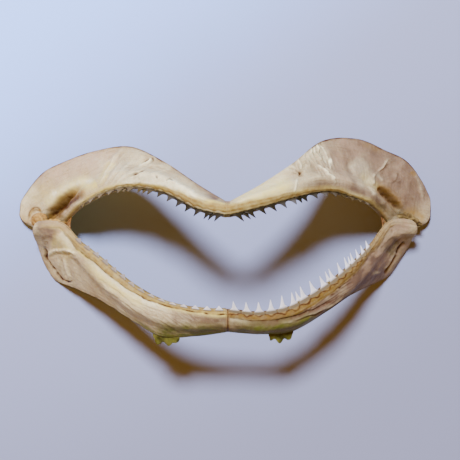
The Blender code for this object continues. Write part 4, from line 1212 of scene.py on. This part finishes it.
def makeWeb(name, node, upper, lower, look, seed):      # a thin skin across the corner of the mouth
    rows, columns = look["grid"]
    along = np.linspace(0, 1, rows)
    top = smoothAlong(upper["gum"], look["upper"][0] + (look["upper"][1] - look["upper"][0]) * along)
    low = smoothAlong(lower["gum"], look["lower"][0] + (look["lower"][1] - look["lower"][0]) * along)
    share = np.linspace(0, 1, columns)[None, :, None]
    points = top[:, None] * (1 - share) + low[:, None] * share
    inward = np.sin(math.pi * share[..., 0]) * (1 - along[:, None])
    points[..., 0] += look["dip"] * inward
    points[..., 2] -= look["sag"] * np.sin(math.pi * share[..., 0])
    folds = np.sin(along[:, None] * look["folds"] + 0.8 * ripple(points, 6.0, seed))
    rough = look["fold"] * folds + 0.12 * ripple(points, 2.0, seed + 1)
    points[..., 2] += rough * np.sin(math.pi * share[..., 0]) ** 0.5
    piece = gridPiece(name, rows, columns)
    writePoints(piece, placed(upper, points))
    # painted highlight on the folds' crests and painted shade in their hollows
    writeMask(piece, "crest", ramp(rough, 0.1, 0.5))
    writeMask(piece, "hollowShade", ramp(-rough, 0.1, 0.5))
    turnOut(piece)
    addModifier(piece, "SOLIDIFY", thickness=look["thick"] * metres, offset=0.0)
    dress(piece, membraneFinish, node)


def makeFan(name, node, half, look, seed):      # a torn flap of tissue with pointed lobes, on the rim
    rows, columns = look["grid"]
    across, outward = np.linspace(0, 1, rows)[:, None], np.linspace(0, 1, columns)[None, :]
    rim = smoothAlong(half["rim"], look["along"][0] + (look["along"][1] - look["along"][0]) * across[:, 0])
    reach = 0.32 + sum(size * bump(across, place, wide) for place, size, wide in look["lobes"]) * 0.68
    reach = reach * look["length"] * ramp(across, -0.1, 0.12) * ramp(1 - across, -0.1, 0.12)
    away = (reach + look["root"]) * outward - look["root"]
    points = rim[:, None] + np.array(unit(np.array(look["way"]))) * away[..., None]
    points[..., 0] += look["flare"] * (across - 0.5) * away * 8
    ruffle = np.sin(9.0 * across + 1.2 * ripple(points, 6.0, seed)) * look["ruffle"] * outward
    ruffle = ruffle + 0.12 * ripple(points, 4.0, seed + 1)
    points[..., 2] += ruffle
    piece = gridPiece(name, rows, columns)
    writePoints(piece, placed(half, points))
    # painted highlight on the ruffles' crests, painted shade in their troughs and towards the rim
    writeMask(piece, "crest", ramp(ruffle, -0.1, 0.5) * (0.2 + 0.6 * outward))
    hole = look["hole"] * bump(across, 0.46, 0.09) * bump(away, 1.5, 0.7)      # a hole painted dark as shade, not cut
    writeMask(piece, "hollowShade", np.maximum(hole, 0.5 * ramp(-ruffle, 0.0, 0.5) + 0.3 * (1 - outward)))
    turnOut(piece)
    addModifier(piece, "SOLIDIFY", thickness=look["thick"] * metres, offset=0.0)
    dress(piece, remnantFinish, node)


jointLeft = {"centre": (-76.0, 8.2, 10.6), "faces": (-0.3, -0.1, 1.0), "along": (1.0, 0.2, 0.0),
             "radii": (3.6, 3.2, 2.4), "lobes": 0.05, "count": 3, "turn": 0.4, "folds": 13.0, "fold": 0.16,
             "rough": 0.05, "grain": 4.5}
bandLeft = {"centre": (-68.4, 7.6, 14.6), "faces": (-0.1, 0.2, 1.0), "along": (1.0, -0.05, 0.0),
            "radii": (5.6, 1.1, 1.5), "lobes": 0.0, "count": 3, "turn": 0.0, "folds": 5.0, "fold": 0.1,
            "rough": 0.12, "grain": 3.0}
jointRight = {"centre": (73.2, 8.4, 11.4), "faces": (0.3, -0.1, 1.0), "along": (1.0, -0.42, 0.0),
              "radii": (5.4, 2.0, 1.7), "lobes": 0.10, "count": 4, "turn": 1.0, "folds": 5.0, "fold": 0.10,
              "rough": 0.26, "grain": 3.4}
remnantLeft = {"along": (0.185, 0.275), "length": 3.7, "root": 0.9, "way": (0.0, -0.93, -0.37), "thick": 0.8,
               "flare": 0.08, "lobes": [(0.16, 0.35, 0.10), (0.42, 0.9, 0.13), (0.78, 1.0, 0.14)],
               "ruffle": 0.35, "hole": 0.0, "grid": (72, 30)}
remnantRight = dict(remnantLeft, along=(0.165, 0.255), length=4.0, flare=0.05, hole=1.0,
                    lobes=[(0.12, 0.6, 0.10), (0.46, 1.0, 0.16), (0.82, 0.75, 0.13)])
webLeft = {"upper": (0.75, 0.93), "lower": (0.73, 0.89), "dip": 2.4, "sag": 1.2, "folds": 15.0, "fold": 0.25,
           "thick": 0.4, "grid": (60, 40)}
webRight = dict(webLeft, folds=13.0, fold=0.3)
makeLump("left_joint_tissue", "left_joint_ligament", jointLeft, jointFinish, 51)
makeLump("left_joint_band", "left_joint_ligament", bandLeft, jointFinish, 52)
makeLump("right_joint_tissue", "right_joint_ligament", jointRight, crumbFinish, 61)
makeWeb("left_corner_web", "left_joint_ligament", upperLeft, lowerLeft, webLeft, 55)
makeWeb("right_corner_web", "right_joint_ligament", upperRight, lowerRight, webRight, 65)
makeFan("left_remnant", "left_tissue_remnant", lowerLeft, remnantLeft, 71)
makeFan("right_remnant", "right_tissue_remnant", lowerRight, remnantRight, 81)
print("tissue laid")

# Floor, lights and camera.

# The floor's colour is painted light: greyer and darker towards the bottom right, bluer and lighter towards
# the top left.
floorLook = {"size": 1.5, "grey": colour(0.245, 0.26, 0.245), "middle": colour(0.288, 0.331, 0.345),
             "paintedLightBlue": colour(0.372, 0.66, 0.99), "way": (-0.6, 0.8, 0.0), "drift": 0.02,
             "paintedDimEdge": (-0.09, 0.06), "paintedLightEdge": (0.03, 0.15)}
deselect()
bpy.ops.mesh.primitive_plane_add(size=floorLook["size"], location=(0, 0, 0))
floorPiece = bpy.context.object
floorPiece.name = "floor"
finish, tree, shader = newFinish("paleFloorPaintedLight", Roughness=0.7)
place = addNode(tree, "ShaderNodeTexCoord").outputs["Object"]
cloud = addNode(tree, "ShaderNodeTexNoise", Vector=place, Scale=9.0, Detail=3.0).outputs["Fac"]
across = addNode(tree, "ShaderNodeVectorMath", {"operation": "DOT_PRODUCT"}, i0=place,
                 i1=floorLook["way"]).outputs["Value"]
across = maths(tree, "MULTIPLY_ADD", cloud, floorLook["drift"], across)
shade = blended(tree, spread(tree, across, *floorLook["paintedDimEdge"]), floorLook["grey"], floorLook["middle"])
shade = blended(tree, spread(tree, across, *floorLook["paintedLightEdge"]), shade, floorLook["paintedLightBlue"])
tree.links.new(shade, shader.inputs["Base Color"])
floorPiece.data.materials.append(finish)


def addLight(name, look):
    data = bpy.data.lights.new(name, "AREA")
    data.shape = "DISK"
    data.size = look["size"]
    data.energy = look["power"]
    data.color = look["colour"]
    light = bpy.data.objects.new(name, data)
    bpy.context.scene.collection.objects.link(light)
    way = Vector(look["way"]).normalized()
    light.location = way * look["distance"]      # way points from the jaw to the light
    light.rotation_euler = way.to_track_quat("Z", "Y").to_euler()


lights = {
    "keyLight": {"way": (-0.0874, 0.397, 0.9135), "distance": 0.85, "size": 0.16, "power": 21.4,
                 "colour": (0.685, 0.745, 1.32)},
    "lowLight": {"way": (0.15, -0.93, 0.34), "distance": 0.6, "size": 0.3, "power": 0.26,
                 "colour": (0.4, 1.15, 1.0)},
    "leftLight": {"way": (-0.72, 0.42, 0.55), "distance": 0.55, "size": 0.35, "power": 0.9,
                  "colour": (1.0, 0.48, 0.10)},
}
for name, look in lights.items():
    addLight(name, look)

studio = {"fill": (colour(1.0, 0.385, 0.042), 0.38), "backdrop": (colour(0.62, 0.66, 0.80), 0.9)}
world = bpy.data.worlds.new("softStudio")
bpy.context.scene.world = world
world.use_nodes = True
tree = world.node_tree
fill, backdrop = [addNode(tree, "ShaderNodeBackground", Color=studio[key][0], Strength=studio[key][1])
                  for key in ("fill", "backdrop")]      # warm light in the shadows, pale behind the floor
direct = addNode(tree, "ShaderNodeLightPath").outputs["Is Camera Ray"]
mixed = addNode(tree, "ShaderNodeMixShader", i0=direct, i1=fill.outputs[0], i2=backdrop.outputs[0])
tree.links.new(mixed.outputs[0], tree.nodes["World Output"].inputs["Surface"])

cameraData = bpy.data.cameras.new("camera")
cameraData.sensor_width = 36.0
cameraData.lens = 36.0 * view["focal"] / view["picture"]
cameraData.clip_start = 0.01
camera = bpy.data.objects.new("camera", cameraData)
bpy.context.scene.collection.objects.link(camera)
camera.location = (view["middle"][0] * metres, view["middle"][1] * metres, view["height"] * metres)
bpy.context.scene.camera = camera
print("floor, lights and camera set")
